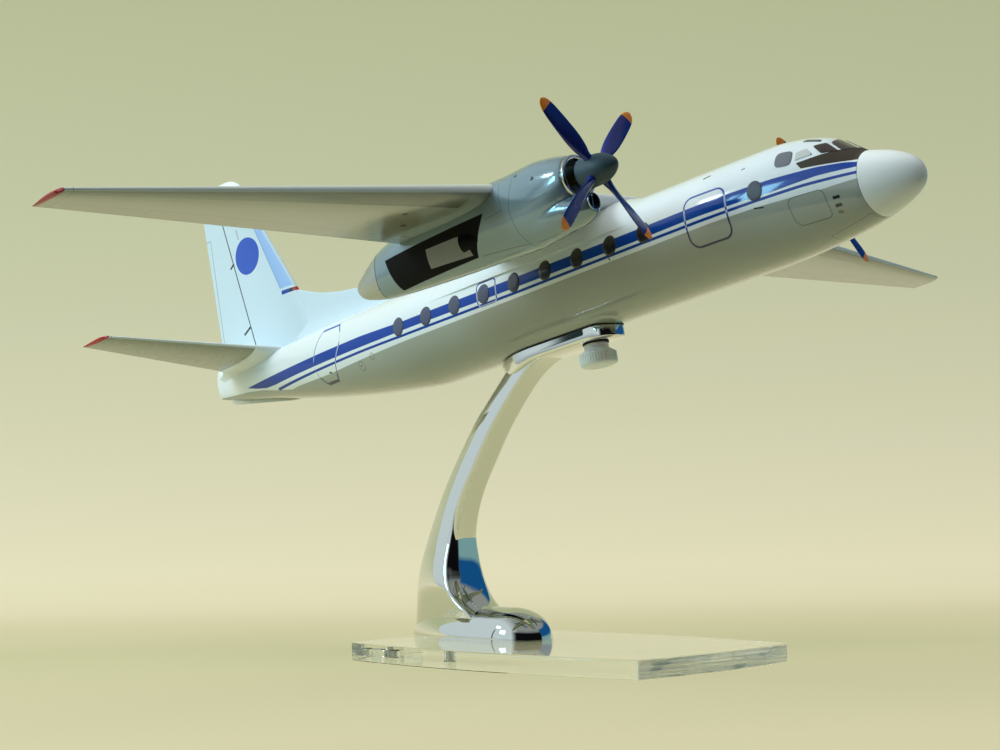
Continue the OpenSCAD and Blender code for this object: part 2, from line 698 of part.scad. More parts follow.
function tailplane_le(y) = [aft(tailplane_s) + tailplane_sweep*y/tailplane_y, tailplane_z + 0.6 + y*tan(tailplane_angle)];
function tailplane_ring(y) = let(c = mix(tailplane_chord, tailplane_tip, y/tailplane_y),
  d = max(0, y - tailplane_y + 3.5)/3.5, k = sqrt(max(0.04, 1 - d*d)), a = tailplane_le(y), b = [a[0] + c, a[1] - 0.6],
  m = mix(a, b, 0.55)) foil_ring(y, m + (a - m)*k, m + (b - m)*k, 0.1, 0);

module tailplane_tongue(g) {
  translate([-aft(tailplane_s) - 27, 0, tailplane_z]) rotate([tailplane_angle, 0, 0])
    translate([-g, 3 - g, -0.7 - g]) cube([14 + 2*g, 7, 1.5 + 2*g]);
}

module tailplane() {
  union() {
    difference() {
      loft([for (y = [2, 16, 32, 48, tailplane_y - 3.5, tailplane_y - 1.8, tailplane_y - 0.6, tailplane_y])
        tailplane_ring(y)]);
      skin_solid(aft(220), body_l);
    }
    tailplane_tongue(0);
  }
}

module tailplane_left() {
  color([0.85, 0.87, 0.86]) aircraft() tailplane();
}
module tailplane_right() {
  color([0.85, 0.87, 0.86]) aircraft() other_side() tailplane();
}

// Fin edges by height
function fin_le(z) = aft(266.9) + 0.531*(z - 35.4);
function fin_te(z) = aft(314) + 0.028*z;
function fin_ring(z, le, te, t) = let(n = len(foil_steps)) concat(
  [for (i = [n - 1:-1:0]) let(x = foil_steps[i]) [-le - x*(te - le), -t*foil(x), z]],
  [for (i = [1:n - 1]) let(x = foil_steps[i]) [-le - x*(te - le), t*foil(x), z]]);
// Ridge height of the dorsal fillet
function ridge(s) = lookup(s, [[196, half_h - 0.6], [204, half_h + 1.6], [218, half_h + 5.4], [234.2, half_h + 9.6],
  [244.9, half_h + 11.1], [255.6, half_h + 13.6], [264, half_h + 16.6], [276, half_h + 22]]);
function dorsal_ring(s) = let(a = aft(s), t = ridge(s), b = lookup(s, [[196, 0.6], [240, 2.6], [262, 3.1], [276, 1.5]]),
  w = lookup(s, [[196, 0.3], [262, 0.8], [276, 0.5]]),
  z0 = half_h - 5) [[-a, -b, z0], [-a, -b*0.9, half_h - 0.5], [-a, -mix(w, b, 0.3), mix(half_h, t, 0.3)],
  [-a, -w, mix(half_h, t, 0.85)], [-a, -w*0.75, t - 0.2*w], [-a, -w*0.3, t], [-a, w*0.3, t],
  [-a, w*0.75, t - 0.2*w], [-a, w, mix(half_h, t, 0.85)], [-a, mix(w, b, 0.3), mix(half_h, t, 0.3)],
  [-a, b*0.9, half_h - 0.5], [-a, b, z0]];

fin_tongue_l = 21;
module fin_tongue(g) {
  translate([-aft(298.6) - g, -0.8 - g, half_h - 6.5 - g]) cube([fin_tongue_l + 2*g, 1.6 + 2*g, 7]);
}

module tail_fin() {
  color([0.9, 0.93, 0.94]) aircraft() union() {
    difference() {
      union() {
        loft([for (z = [half_h - 8, half_h, 26, 39.5, 50, 64, cap_z])
          fin_ring(z, fin_le(z), fin_te(z), mix(fin_t, 2.5, (z - half_h)/(cap_z - half_h)))]);
        loft([for (s = [196, 200, 204, 211, 218, 226, 234.2, 240, 244.9, 250, 255.6, 260, 264, 270, 276])
          dorsal_ring(s)]);
      }
      skin_solid(taper_s, body_l);
    }
    fin_tongue(0);
  }
}

function cap_ring(u) = let(z = mix(cap_z, fin_z, u), k = sqrt(max(0.02, 1 - pow(u, 2.4))),
  le = mix(cap_z, fin_z, u*0.35)) fin_ring(z, fin_le(le) + 9*(1 - k), fin_te(z) - 6*(1 - k), mix(0.5, 2.5, k));
module fin_cap() {
  color([0.95, 0.96, 0.95]) aircraft() loft([for (u = [0, 0.25, 0.5, 0.68, 0.82, 0.92, 0.98, 1]) cap_ring(u)]);
}

module ventral_keel() {
  rear = aft(311);
  low = skin_low(rear) - keel_d;
  color([0.72, 0.74, 0.7]) aircraft() difference() {
    translate([0, keel_t/2, 0]) rotate([90, 0, 0]) linear_extrude(keel_t)
      polygon([[-aft(274), skin_low(aft(274))], [-aft(279), skin_low(aft(279)) - 0.6], [-rear, low],
        [-rear - 1.6, low + 1], [-rear - 2, skin_low(rear) + 2], [-aft(274), skin_low(aft(274)) + 3]]);
    skin_solid(aft(250), body_l);
  }
}

// Nacelles, drawn on the left side

// Lines of the nacelle as height over the propeller axis and half breadth by station
function nac_top(s) = lookup(s, [[79.2, lip_r], [81.1, 7.5], [85.8, 8.5], [93, 9.2], [98, 9], [103, 8.7], [115, 8.6],
  [125, 8.4], [140, 7.1], [150, 5.5], [159.9, 3.5], [163, 2.4], [167.5, 0.1], [172, -2.6], [174.8, -4.4], [176.3, -5.6]]);
function nac_low(s) = lookup(s, [[79.2, -lip_r], [80.5, -8.4], [84, -11.2], [90, -14.1], [97, -15.8], [117.5, -15.3],
  [131.7, -14.9], [147.9, -14.2], [159, -13.5], [164.6, -12.8], [170, -11.6], [172.9, -10.7], [175.2, -9.2], [176.3, -7.4]]);
function nac_half(s) = (nac_w/2)*lookup(s, [[79.2, lip_r*2/nac_w], [81, 0.91], [86, 0.98], [93, 1], [122, 1],
  [136, 0.94], [150, 0.8], [163, 0.58], [170, 0.4], [174.8, 0.22], [176.3, 0.09]]);
function nac_ring(s) = let(t = nac_top(s), b = nac_low(s), e = mix(2, 2.25, ease((s - 79)/14)))
  [for (q = [0:12:348]) let(p = oval(q, nac_half(s), (t - b)/2, prop_z + (t + b)/2, e)) [-s, nac_y + p[0], p[1]]];
nac_stations = [79.2, 80.3, 82.4, 85.8, 90, 95, 103, 115, 125, 136, 148, 156, cone_s];
module nacelle_skin() {
  loft([for (s = nac_stations) nac_ring(s)]);
}

// Chin rows as station, lower edge, half height, half breadth
chin = [[74.2, 1.9, 2.9, 2.9], [74.7, 1.45, 3.12, 3.4], [76, 0.5, 3.6, 4.4], [77.6, -0.1, 3.9, 5], [79.4, -0.6, 4.4, 5.6],
  [83, -1.1, 5.4, 6.4], [88, -1.7, 6, 6.9], [98, -2.4, 6.4, 7]];
module chin_skin() {
  loft([for (r = chin) [for (q = [0:15:345]) let(p = oval(q, r[3], r[2], prop_z - 13.3 + r[1] + r[2], 2))
    [-r[0], nac_y + p[0], p[1]]]]);
}

cooler_z = prop_z - 8.5;
exhaust_angle = 14;
module at_exhaust() {
  translate([-121.4, nac_y + nac_w/2 - 1.7, prop_z - 7.6]) rotate([0, -90, -exhaust_angle]) children();
}
bore_z = prop_z - 5;

module nacelle() {
  difference() {
    union() {
      nacelle_skin();
      difference() {
        chin_skin();
        aft_axis(lip_s - 0.3, nac_y, prop_z) cylinder(r = lip_r + 0.02, h = cowl_s - lip_s + 0.3, $fn = 64);
      }
    }
    aft_axis(cowl_s - 1, nac_y, prop_z) difference() {
      cylinder(r = throat_r, h = 5.5, $fn = 64);
      translate([0, 0, -1]) cylinder(r = bush_d/2 + 1.6, h = 8, $fn = 48);
    }
    aft_axis(cowl_s - 3, nac_y, prop_z) cylinder(d = bush_d, h = 20, $fn = 48);
    aft_axis(boss_end, nac_y, prop_z) cylinder(d = 8, h = 8, $fn = 48);
    aft_axis(boss_end + 4, nac_y, bore_z) cylinder(d = 8, h = cone_s - boss_end, $fn = 48);
    aft_axis(70, nac_y, cooler_z) cylinder(d = cooler_d, h = 10, $fn = 48);
    at_exhaust() translate([0, 0, -12]) cylinder(d = exhaust_d, h = 30, $fn = 48);
    wing_tongue(nac_y + 3.3, nac_y + 14, slot_gap);
    wing_tongue(nac_y - 14, nac_y - 3.3, slot_gap);
  }
}

// Rolled metal lip in front of the cowl
module intake_ring() {
  w = lip_r - throat_r;
  l = cowl_s - lip_s - w/2;
  aft_axis(lip_s, nac_y, prop_z) rotate_extrude($fn = 64) union() {
    translate([throat_r, w/2]) square([w, l]);
    translate([throat_r + w/2, w/2]) circle(d = w, $fn = 32);
  }
}

module oil_cooler() {
  difference() {
    aft_axis(73.8, nac_y, cooler_z) union() {
      difference() {
        cylinder(d = cooler_d, h = 6.2, $fn = 48);
        translate([0, 0, -1]) cylinder(d = cooler_d - 0.8, h = 6.4, $fn = 48);
      }
      translate([-cooler_d/2 + 0.2, -0.25, 0.6]) cube([cooler_d - 0.4, 0.5, 5.2]);
    }
    // Notch that seats it round the intake lip
    aft_axis(lip_s - 0.05, nac_y, prop_z) cylinder(r = lip_r + 0.02, h = cowl_s - lip_s + 0.05, $fn = 64);
  }
}

module exhaust_pipe() {
  at_exhaust() translate([0, 0, -11.5]) difference() {
    cylinder(d = exhaust_d, h = 11.5, $fn = 48);
    translate([0, 0, 3]) cylinder(d = exhaust_d - 2*exhaust_wall, h = 12, $fn = 48);
  }
}

module nacelle_tail() {
  union() {
    loft([for (s = [cone_s, 167.5, 170, 172.9, 174.8, 175.7, 176.3]) nac_ring(s)]);
    aft_axis(cone_s - 4, nac_y, bore_z) cylinder(d = 7.9, h = 5, $fn = 48);
  }
}

module nacelle_left() {
  color([0.78, 0.83, 0.84]) aircraft() nacelle();
}
module nacelle_right() {
  color([0.78, 0.83, 0.84]) aircraft() other_side() nacelle();
}
module intake_ring_left() {
  color([0.8, 0.81, 0.83]) aircraft() intake_ring();
}
module intake_ring_right() {
  color([0.8, 0.81, 0.83]) aircraft() other_side() intake_ring();
}
module oil_cooler_left() {
  color([0.7, 0.71, 0.73]) aircraft() oil_cooler();
}
module oil_cooler_right() {
  color([0.7, 0.71, 0.73]) aircraft() other_side() oil_cooler();
}
module exhaust_pipe_left() {
  color([0.12, 0.12, 0.12]) aircraft() exhaust_pipe();
}
module exhaust_pipe_right() {
  color([0.12, 0.12, 0.12]) aircraft() other_side() exhaust_pipe();
}
module nacelle_tail_left() {
  color([0.7, 0.71, 0.72]) aircraft() nacelle_tail();
}
module nacelle_tail_right() {
  color([0.7, 0.71, 0.72]) aircraft() other_side() nacelle_tail();
}

// Propellers, the same hand on both sides

module spinner(side) {
  r = spinner_d/2;
  aircraft() aft_axis(spinner_s, side*nac_y, prop_z) difference() {
    rotate_extrude($fn = 64) polygon(concat([[0, 0]],
      [for (z = [0.15, 0.4, 0.8, 1.3, 2, 3, 4, 5, 6, 7, 8]) [r*pow(1 - pow(1 - z/8, 1.9), 0.58), z]],
      [[r, spinner_l], [0, spinner_l]]));
    translate([0, 0, hub_front - spinner_s]) cylinder(r = hub_r, h = spinner_l, $fn = 48);
    for (k = [0:3]) translate([0, 0, disc_s - spinner_s]) rotate([0, 0, -prop_turn + 90*k]) rotate([0, 90, 0])
      cylinder(d = cuff_d + 0.3, h = r + 2, $fn = 32);
  }
}

module prop_hub(side) {
  aircraft() aft_axis(hub_front, side*nac_y, prop_z) difference() {
    cylinder(r = hub_r, h = spinner_s + spinner_l - hub_front - 0.6, $fn = 48);
    translate([0, 0, 1]) cylinder(d = shaft_d, h = 20, $fn = 48);
    for (k = [0:3]) translate([0, 0, disc_s - hub_front]) rotate([0, 0, -prop_turn + 90*k]) rotate([0, 90, 0])
      translate([0, 0, 1.7]) cylinder(d = cuff_d, h = 10, $fn = 32);
  }
}

module prop_shaft(side) {
  aircraft() aft_axis(hub_front + 1, side*nac_y, prop_z)
    cylinder(d = shaft_d, h = boss_end + end_play + 2.6 - hub_front - 1, $fn = 48);
}

module shaft_bush(side) {
  aircraft() aft_axis(cowl_s - 1.2, side*nac_y, prop_z) difference() {
    cylinder(d = bush_d, h = boss_end - cowl_s + 1.2, $fn = 48);
    translate([0, 0, -1]) cylinder(d = shaft_d + 2*run_gap, h = 20, $fn = 48);
  }
}

module shaft_collar(side) {
  aircraft() aft_axis(boss_end + end_play, side*nac_y, prop_z) difference() {
    cylinder(d = collar_d, h = 2, $fn = 48);
    translate([0, 0, -1]) cylinder(d = shaft_d, h = 4, $fn = 48);
  }
}

prop_r = prop_d/2;
// Blade section at radius r, chord turned towards the axis by the blade angle
function blade_ring(r) = let(u = r/prop_r,
  c = blade_chord*lookup(u, [[0.19, 0.5], [0.3, 0.78], [0.45, 0.96], [0.62, 1], [0.8, 0.96], [0.9, 0.84], [0.955, 0.64],
    [0.985, 0.38], [1, 0.14]]),
  t = lookup(u, [[0.19, 2.3], [0.3, 1.7], [0.45, 1.25], [0.62, 1], [0.8, 0.8], [0.95, 0.6], [1, 0.25]]),
  b = blade_pitch + lookup(u, [[0.19, 22], [0.3, 17], [0.45, 9], [0.62, 0], [0.8, -6], [1, -10]]))
  [for (a = [0:30:330]) let(p = c/2*cos(a), h = t/2*sin(a)*(1 - 0.25*cos(a)))
    [p*sin(b) - h*cos(b), p*cos(b) + h*sin(b), r]];

module blade(side, k) {
  color([0.12, 0.16, 0.45]) aircraft() translate([-disc_s, side*nac_y, prop_z]) rotate([prop_turn + 90*k, 0, 0])
    union() {
      translate([0, 0, 1.8]) cylinder(d = cuff_d, h = 4.4, $fn = 32);
      loft([for (u = [0.2, 0.26, 0.34, 0.45, 0.62, 0.8, 0.9, 0.955, 0.985, 1]) blade_ring(u*prop_r)]);
    }
}

module spinner_left() {
  color([0.35, 0.42, 0.42]) spinner(1);
}
module spinner_right() {
  color([0.35, 0.42, 0.42]) spinner(-1);
}
module prop_hub_left() {
  color([0.3, 0.3, 0.32]) prop_hub(1);
}
module prop_hub_right() {
  color([0.3, 0.3, 0.32]) prop_hub(-1);
}
module prop_shaft_left() {
  color([0.7, 0.71, 0.73]) prop_shaft(1);
}
module prop_shaft_right() {
  color([0.7, 0.71, 0.73]) prop_shaft(-1);
}
module shaft_bush_left() {
  color([0.8, 0.65, 0.3]) shaft_bush(1);
}
module shaft_bush_right() {
  color([0.8, 0.65, 0.3]) shaft_bush(-1);
}
module shaft_collar_left() {
  color([0.7, 0.71, 0.73]) shaft_collar(1);
}
module shaft_collar_right() {
  color([0.7, 0.71, 0.73]) shaft_collar(-1);
}
module blade_left_1() {
  blade(1, 0);
}
module blade_left_2() {
  blade(1, 1);
}
module blade_left_3() {
  blade(1, 2);
}
module blade_left_4() {
  blade(1, 3);
}
module blade_right_1() {
  blade(-1, 0);
}
module blade_right_2() {
  blade(-1, 1);
}
module blade_right_3() {
  blade(-1, 2);
}
module blade_right_4() {
  blade(-1, 3);
}

base_plate();
base_screw();
base_pin();
stand_arm();
saddle_pad();
screw_washer();
thumb_knob();
thumb_stud();
belly_insert();
belly_block();
fuselage_left();
fuselage_right();
nose_radome();
cockpit_windows();
cabin_windows_left();
cabin_windows_right();
wing_center();
wing_left();
wing_right();
tailplane_left();
tailplane_right();
tail_fin();
fin_cap();
ventral_keel();
nacelle_left();
nacelle_right();
intake_ring_left();
intake_ring_right();
oil_cooler_left();
oil_cooler_right();
exhaust_pipe_left();
exhaust_pipe_right();
nacelle_tail_left();
nacelle_tail_right();
spinner_left();
spinner_right();
prop_hub_left();
prop_hub_right();
prop_shaft_left();
prop_shaft_right();
shaft_bush_left();
shaft_bush_right();
shaft_collar_left();
shaft_collar_right();
blade_left_1();
blade_left_2();
blade_left_3();
blade_left_4();
blade_right_1();
blade_right_2();
blade_right_3();
blade_right_4();
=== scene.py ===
# Desk model of a high-wing twin turboprop airliner on a chromed stand, dressed for viewing.

import math

import bmesh
import bpy
from mathutils import Matrix, Vector


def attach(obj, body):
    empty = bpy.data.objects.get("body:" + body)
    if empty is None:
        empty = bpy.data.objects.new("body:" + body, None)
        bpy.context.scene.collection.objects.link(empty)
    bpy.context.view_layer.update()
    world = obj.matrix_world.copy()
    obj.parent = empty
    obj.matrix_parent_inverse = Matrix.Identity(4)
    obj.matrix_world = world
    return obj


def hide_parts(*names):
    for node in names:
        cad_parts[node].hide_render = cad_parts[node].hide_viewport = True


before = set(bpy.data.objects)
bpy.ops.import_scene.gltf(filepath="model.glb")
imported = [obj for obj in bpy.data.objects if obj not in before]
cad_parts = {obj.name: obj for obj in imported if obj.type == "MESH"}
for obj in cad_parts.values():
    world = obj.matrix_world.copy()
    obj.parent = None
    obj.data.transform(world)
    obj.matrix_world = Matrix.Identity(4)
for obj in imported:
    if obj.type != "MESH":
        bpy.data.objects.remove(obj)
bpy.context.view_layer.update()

MM = 0.001
sin, cos, rad = math.sin, math.cos, math.radians

# Camera

EYE = Vector((0.4659, -0.5055, 0.0593))
YAW, PITCH, ROLL = rad(44.25), rad(2.81), rad(-1.04)
ahead = Vector((-sin(YAW) * cos(PITCH), cos(YAW) * cos(PITCH), sin(PITCH)))
level = Vector((cos(YAW), sin(YAW), 0))
upward = level.cross(ahead)
across = level * cos(ROLL) + upward * sin(ROLL)
upright = upward * cos(ROLL) - level * sin(ROLL)
camera = bpy.data.objects.new("camera", bpy.data.cameras.new("camera"))
bpy.context.collection.objects.link(camera)
camera.matrix_world = Matrix((
    (across.x, upright.x, -ahead.x, EYE.x),
    (across.y, upright.y, -ahead.y, EYE.y),
    (across.z, upright.z, -ahead.z, EYE.z),
    (0, 0, 0, 1)))
camera.data.lens = 76.1
camera.data.sensor_width = 36
camera.data.clip_start, camera.data.clip_end = 0.01, 20
bpy.context.scene.camera = camera

# Shapes of the aircraft, in millimetres aft of the nose and over the body axis

CLIMB = rad(11.18)
# Station of the point that the stand holds, and where it is over the table
HOLD_S, BELLY_X, BELLY_Z = 129.2, 15.8, 105.9
HALF_H, HALF_W, NOSE_Z = 17.2, 20.1, -4.75
SCREEN_S, SCREEN_L, SCREEN_ANGLE = 16, 8.5, rad(37.4)
RADOME_S, ROOF_S, TAPER_S, TAIL_S, FALL_S, SWELL_S, BODY_L = 14.5, 45, 190, 200, 230, 296, 323
ROW_S, ROW_STEP, ROW_Z, FRONT_S, FRONT_Z = 86.3, 13.9, 1.6, 44.7, 2
NAC_Y, PROP_Z, COWL_S, CONE_S, NAC_END = 54.9, 13.3, 79.2, 163, 176.3
LIP_R, THROAT_R, LIP_S = 6.9, 5.6, 77.7
BLADE_R, BLADE_S, ROOT_R = 27.1, 70.8, 1.3
TIP_Y, AILERON_Y = 202.7, 198.2
PLANE_S, PLANE_Z, PLANE_Y = 271.1, 13, 61.4
CAP_Z = (77.5, 86.6)
PLATE_X, PLATE_Y, PLATE_T = 62.5, 36, 6
PAD_T, SADDLE_T, WASHER_T = 0.5, 3.8, 0.4
SIDES = ((1, "left"), (-1, "right"))


def place(s, y, z):
    """Point of the aircraft in metres, from station, side and height."""
    a, b = HOLD_S - s, z + HALF_H
    return Vector((BELLY_X + a * cos(CLIMB) - b * sin(CLIMB), y,
                   BELLY_Z + a * sin(CLIMB) + b * cos(CLIMB))) * MM


def mix(a, b, t):
    return a + (b - a) * t


def ease(t):
    u = min(1, max(0, t))
    return u * u * (3 - 2 * u)


def fill(s, l, m, n):
    """Rise from nothing where s is 0 to one where s is l."""
    return (1 - (1 - min(1, max(0, s) / l)) ** m) ** n


def glide(x, *knots):
    """Smooth line through the knots, without overshoot."""
    if x <= knots[0][0]:
        return knots[0][1]
    if x >= knots[-1][0]:
        return knots[-1][1]
    k = max(i for i in range(len(knots) - 1) if knots[i][0] <= x)

    def slope(i):
        return (knots[i + 1][1] - knots[i][1]) / (knots[i + 1][0] - knots[i][0])

    def lean(i):
        if i in (0, len(knots) - 1):
            return slope(min(i, len(knots) - 2))
        a, b = slope(i - 1), slope(i)
        return 0 if a * b <= 0 else 2 * a * b / (a + b)

    (x0, y0), (x1, y1) = knots[k], knots[k + 1]
    h, u = x1 - x0, (x - x0) / (x1 - x0)
    return ((1 + 2 * u) * (1 - u) ** 2 * y0 + u * (1 - u) ** 2 * h * lean(k)
            + u * u * (3 - 2 * u) * y1 + u * u * (u - 1) * h * lean(k + 1))


def oval(q, a, h, c, e):
    """Point on an oval with half sizes a and h about height c, at angle q from the top."""
    return (a * math.copysign(abs(sin(q)) ** (2 / e), sin(q)),
            c + h * math.copysign(abs(cos(q)) ** (2 / e), cos(q)))


def steps(a, b, n):
    return [mix(a, b, i / n) for i in range(n + 1)]


def skin_w(s):
    if s <= TAPER_S:
        return HALF_W * fill(s, 65, 1.5, 0.55)
    narrow = 1 - ((s - TAPER_S) / (BODY_L + 9 - TAPER_S)) ** 1.6
    return HALF_W * narrow * mix(1, 0.6, ease((s - SWELL_S) / 23))


def skin_low(s):
    if s < TAIL_S:
        return NOSE_Z - (HALF_H + NOSE_Z) * fill(s, 58, 2, 1 / 2.4)
    return -HALF_H + 24.5 * ((s - TAIL_S) / (BODY_L - 1 - TAIL_S)) ** 1.35 - ease((s - 282) / 30)


def deck(s):
    return NOSE_Z + 14 * fill(s, 40, 2, 1 / 2.2)


SCREEN_TOP = deck(SCREEN_S) + SCREEN_L * math.tan(SCREEN_ANGLE)


def skin_top(s):
    if s < SCREEN_S:
        return deck(s)
    if s < SCREEN_S + SCREEN_L:
        return deck(SCREEN_S) + (s - SCREEN_S) * math.tan(SCREEN_ANGLE)
    if s < ROOF_S:
        return HALF_H - (HALF_H - SCREEN_TOP) * ((ROOF_S - s) / (ROOF_S - SCREEN_S - SCREEN_L)) ** 2.2
    if s < FALL_S:
        return HALF_H
    return HALF_H - 3.6 * ((s - FALL_S) / (BODY_L - FALL_S)) ** 1.5 + 2.8 * ease((s - SWELL_S) / 18)


def skin(s, q, d=0):
    """Skin point at station s and angle q from the roof, moved out by d."""
    top, low = skin_top(s), skin_low(s)
    y, z = oval(q, skin_w(s) + d, (top - low) / 2 + d, (top + low) / 2, 2.1)
    return place(s, y, z)


def foil(x, nose=0.5):
    """Half thickness of a wing section at share x of its chord."""
    return 5 * (0.2969 * x ** nose - 0.126 * x - 0.3516 * x * x + 0.2843 * x ** 3
                - 0.1036 * x ** 4) + 0.03 * x


FOIL_STEPS = [(1 - cos(math.pi * i / 30)) / 2 for i in range(31)]
# Once round a section, from the trailing edge over the top to the nose, and back below
FOIL_WALK = [(x, 1) for x in reversed(FOIL_STEPS)] + [(x, -1) for x in FOIL_STEPS[1:]]


def foil_ring(y, le, te, thick, bend, nose=0.5):
    """Section between leading and trailing edge, each as station and height."""
    c = te[0] - le[0]
    return [(le[0] + x * c, y, mix(le[1], te[1], x)
             + c * (bend * 0.08 * x * (1 - x) + way * thick * foil(x, nose))) for x, way in FOIL_WALK]


def round_tip(le, te, d, least):
    """Leading edge, drawn back towards the tip until the least share of the chord is left."""
    k = max(least, math.sqrt(1 - min(1, max(0, d)) ** 2))
    return tuple(mix(b, a, k) for a, b in zip(le, te))


def lens(a, end, r):
    """Share of the thickness that is left where the tip rounds off over the last r."""
    return math.sqrt(max(0.004, 1 - max(0, 1 - (end - a) / r) ** 2))


def wing_plan(inner, outer):
    """Leading edge as station and height, chord, and its fall, for the shape and for its paint."""
    return (102.8 + 2.8 * inner + 17.6 * outer, HALF_H + 0.9 - 7.4 * outer,
            mix(mix(48.8, 43.7, inner), 12.1, outer), mix(4.2, 0.9, outer))


def wing_ring(y):
    a, side = abs(y), math.copysign(1, y)
    inner, outer = min(1, a / NAC_Y), max(0, (a - NAC_Y) / (TIP_Y - NAC_Y))
    s, z, chord, fall = wing_plan(inner, outer)
    te = (s + chord, z - fall)
    le = round_tip((s, z), te, (a - TIP_Y + 2) / 2, 0.84)
    thick = mix(0.155, 0.135, outer) * lens(a, TIP_Y, 1.1)
    return [place(*p) for p in foil_ring(side * a, le, te, thick, 1, 0.43)]


def tailplane_plan(a):
    """Station of the leading edge and chord, for the shape and for its paint."""
    return PLANE_S + 0.56 * a, mix(35.3, 13.2, a / 62.5)


def tailplane_ring(y):
    a = abs(y)
    s, chord = tailplane_plan(a)
    z = PLANE_Z + a * math.tan(rad(11.1))
    te = (s + chord, z - 0.6)
    le = round_tip((s, z), te, (a - 59.8) / 1.6, 0.88)
    return [place(*p) for p in foil_ring(y, le, te, 0.1 * lens(a, PLANE_Y, 0.8), 0, 0.44)]


def glove_ring(side, t):
    """Section of the fairing at the root of a tailplane, from inside the body out to the tailplane's skin."""
    g = (1 - t) ** 2
    ring = []
    for x, way in FOIL_WALK:
        a = mix(3, 14.3 - 5.9 * x, t)
        s, chord = tailplane_plan(a)
        half = chord * 0.1 * foil(x, 0.44) * (1 + (0.3 if way > 0 else 3.4) * g) + 0.1
        ring.append(place(s - g + x * (chord + 10 * g), side * a, PLANE_Z + 0.196 * a - 0.6 * x + way * half))
    return ring


def fin_le(z):
    return 266.9 + 0.531 * (z - 35.4)


def fin_te(z):
    return 314 + 0.028 * z


def fin_ring(z, le, te, t):
    return [place(le + x * (te - le), -way * t * foil(x), z) for x, way in FOIL_WALK]


def cap_ring(u):
    k = math.sqrt(max(0.006, 1 - u ** 2.4))
    z, root = mix(*CAP_Z, u), mix(*CAP_Z, u * 0.35)
    return fin_ring(z, fin_le(root) + 9 * (1 - k), fin_te(z) - 6 * (1 - k), mix(0.4, 2.5, k))


def dorsal_ring(s):
    t = glide(s, (196, 16.6), (204, 18.8), (218, 22.6), (234.2, 26.8), (244.9, 28.3), (255.6, 30.8),
              (264, 33.8), (276, 39.2))
    b = glide(s, (196, 0.6), (240, 2.6), (262, 3.1), (276, 1.5))
    w = glide(s, (196, 0.3), (262, 0.8), (276, 0.5))
    side = [(b * 1.3, 12.2), (b * 1.15, 15.2), (b, 16.7)] + [
        (mix(w, b, k), mix(HALF_H, t, h)) for k, h in ((0.55, 0.14), (0.27, 0.32), (0.1, 0.6))] + [
        (w, mix(HALF_H, t, 0.9) - 0.1), (w * 0.8, t - 0.32 * w), (w * 0.45, t - 0.08 * w)]
    return [place(s, -y, z) for y, z in side] + [place(s, 0, t)] + [place(s, y, z) for y, z in reversed(side)]


def nac_ring(s):
    """Section of a nacelle."""
    top = glide(s, (COWL_S, LIP_R), (81.1, 7.5), (85.8, 8.5), (93, 9.2), (98, 9), (103, 8.7), (115, 8.6),
                (125, 8.4), (140, 7.1), (150, 5.5), (159.9, 3.5), (163, 2.4), (167.5, 0.1), (172, -2.6),
                (174.8, -4.4), (NAC_END, -5.6))
    low = glide(s, (COWL_S, -LIP_R), (80.5, -8.4), (84, -11.2), (90, -14.1), (97, -15.8), (117.5, -15.3),
                (131.7, -14.9), (147.9, -14.2), (159, -13.5), (164.6, -12.8), (170, -11.6), (172.9, -10.7),
                (175.2, -9.2), (NAC_END, -7.4))
    widest = 8.3
    half = widest * glide(s, (COWL_S, LIP_R / widest), (81, 0.91), (86, 0.98), (93, 1), (122, 1), (136, 0.94),
                          (150, 0.8), (163, 0.58), (170, 0.4), (174.8, 0.22), (NAC_END, 0.09))
    e = mix(2, 2.25, ease((s - 79) / 14))
    outline = [oval(q, half, (top - low) / 2, (top + low) / 2, e) for q in steps(0, rad(356), 89)]
    return [place(s, NAC_Y + y, PROP_Z + z) for y, z in outline]


# Ways of making a piece

def pick(*pieces):
    """Selects these pieces alone, in object mode, the first one active."""
    if bpy.context.object and bpy.context.object.mode != "OBJECT":
        bpy.ops.object.mode_set(mode="OBJECT")
    bpy.ops.object.select_all(action="DESELECT")
    for piece in pieces:
        piece.select_set(True)
    if pieces:
        bpy.context.view_layer.objects.active = pieces[0]


def edit(piece):
    """Opens a piece in edit mode, with nothing selected."""
    pick(piece)
    bpy.ops.object.mode_set(mode="EDIT")
    bpy.ops.mesh.select_all(action="DESELECT")
    return points(piece)


def points(piece):
    mesh = bmesh.from_edit_mesh(piece.data)
    mesh.verts.ensure_lookup_table()
    return mesh


def smooth(piece, angle=32):
    pick(piece)
    bpy.ops.object.shade_smooth_by_angle(angle=rad(angle))
    return piece


def loft(name, rings, first="fill", last="fill", angle=32):
    """A ring of points extruded from section to section, each time put in its place."""
    pick()
    n = len(rings[0])
    bpy.ops.mesh.primitive_circle_add(vertices=n, radius=0.01)
    piece = bpy.context.object
    piece.name = piece.data.name = name
    bpy.ops.object.mode_set(mode="EDIT")
    for k, ring in enumerate(rings):
        if k:
            bpy.ops.mesh.extrude_region()
        mesh = points(piece)
        for i, point in enumerate(ring):
            mesh.verts[k * n + i].co = point
    bmesh.update_edit_mesh(piece.data)
    close_end(last)
    bpy.ops.mesh.select_all(action="DESELECT")
    mesh = points(piece)
    for i in range(n):
        mesh.verts[i].select = True
    mesh.select_flush(True)
    close_end(first)
    bpy.ops.mesh.select_all(action="SELECT")
    bpy.ops.mesh.remove_doubles(threshold=1e-7)
    bpy.ops.mesh.normals_make_consistent(inside=False)
    return smooth(piece, angle)


def close_end(way):
    if way == "fill":
        bpy.ops.mesh.edge_face_add()
    elif way == "point":
        bpy.ops.mesh.merge(type="CENTER")


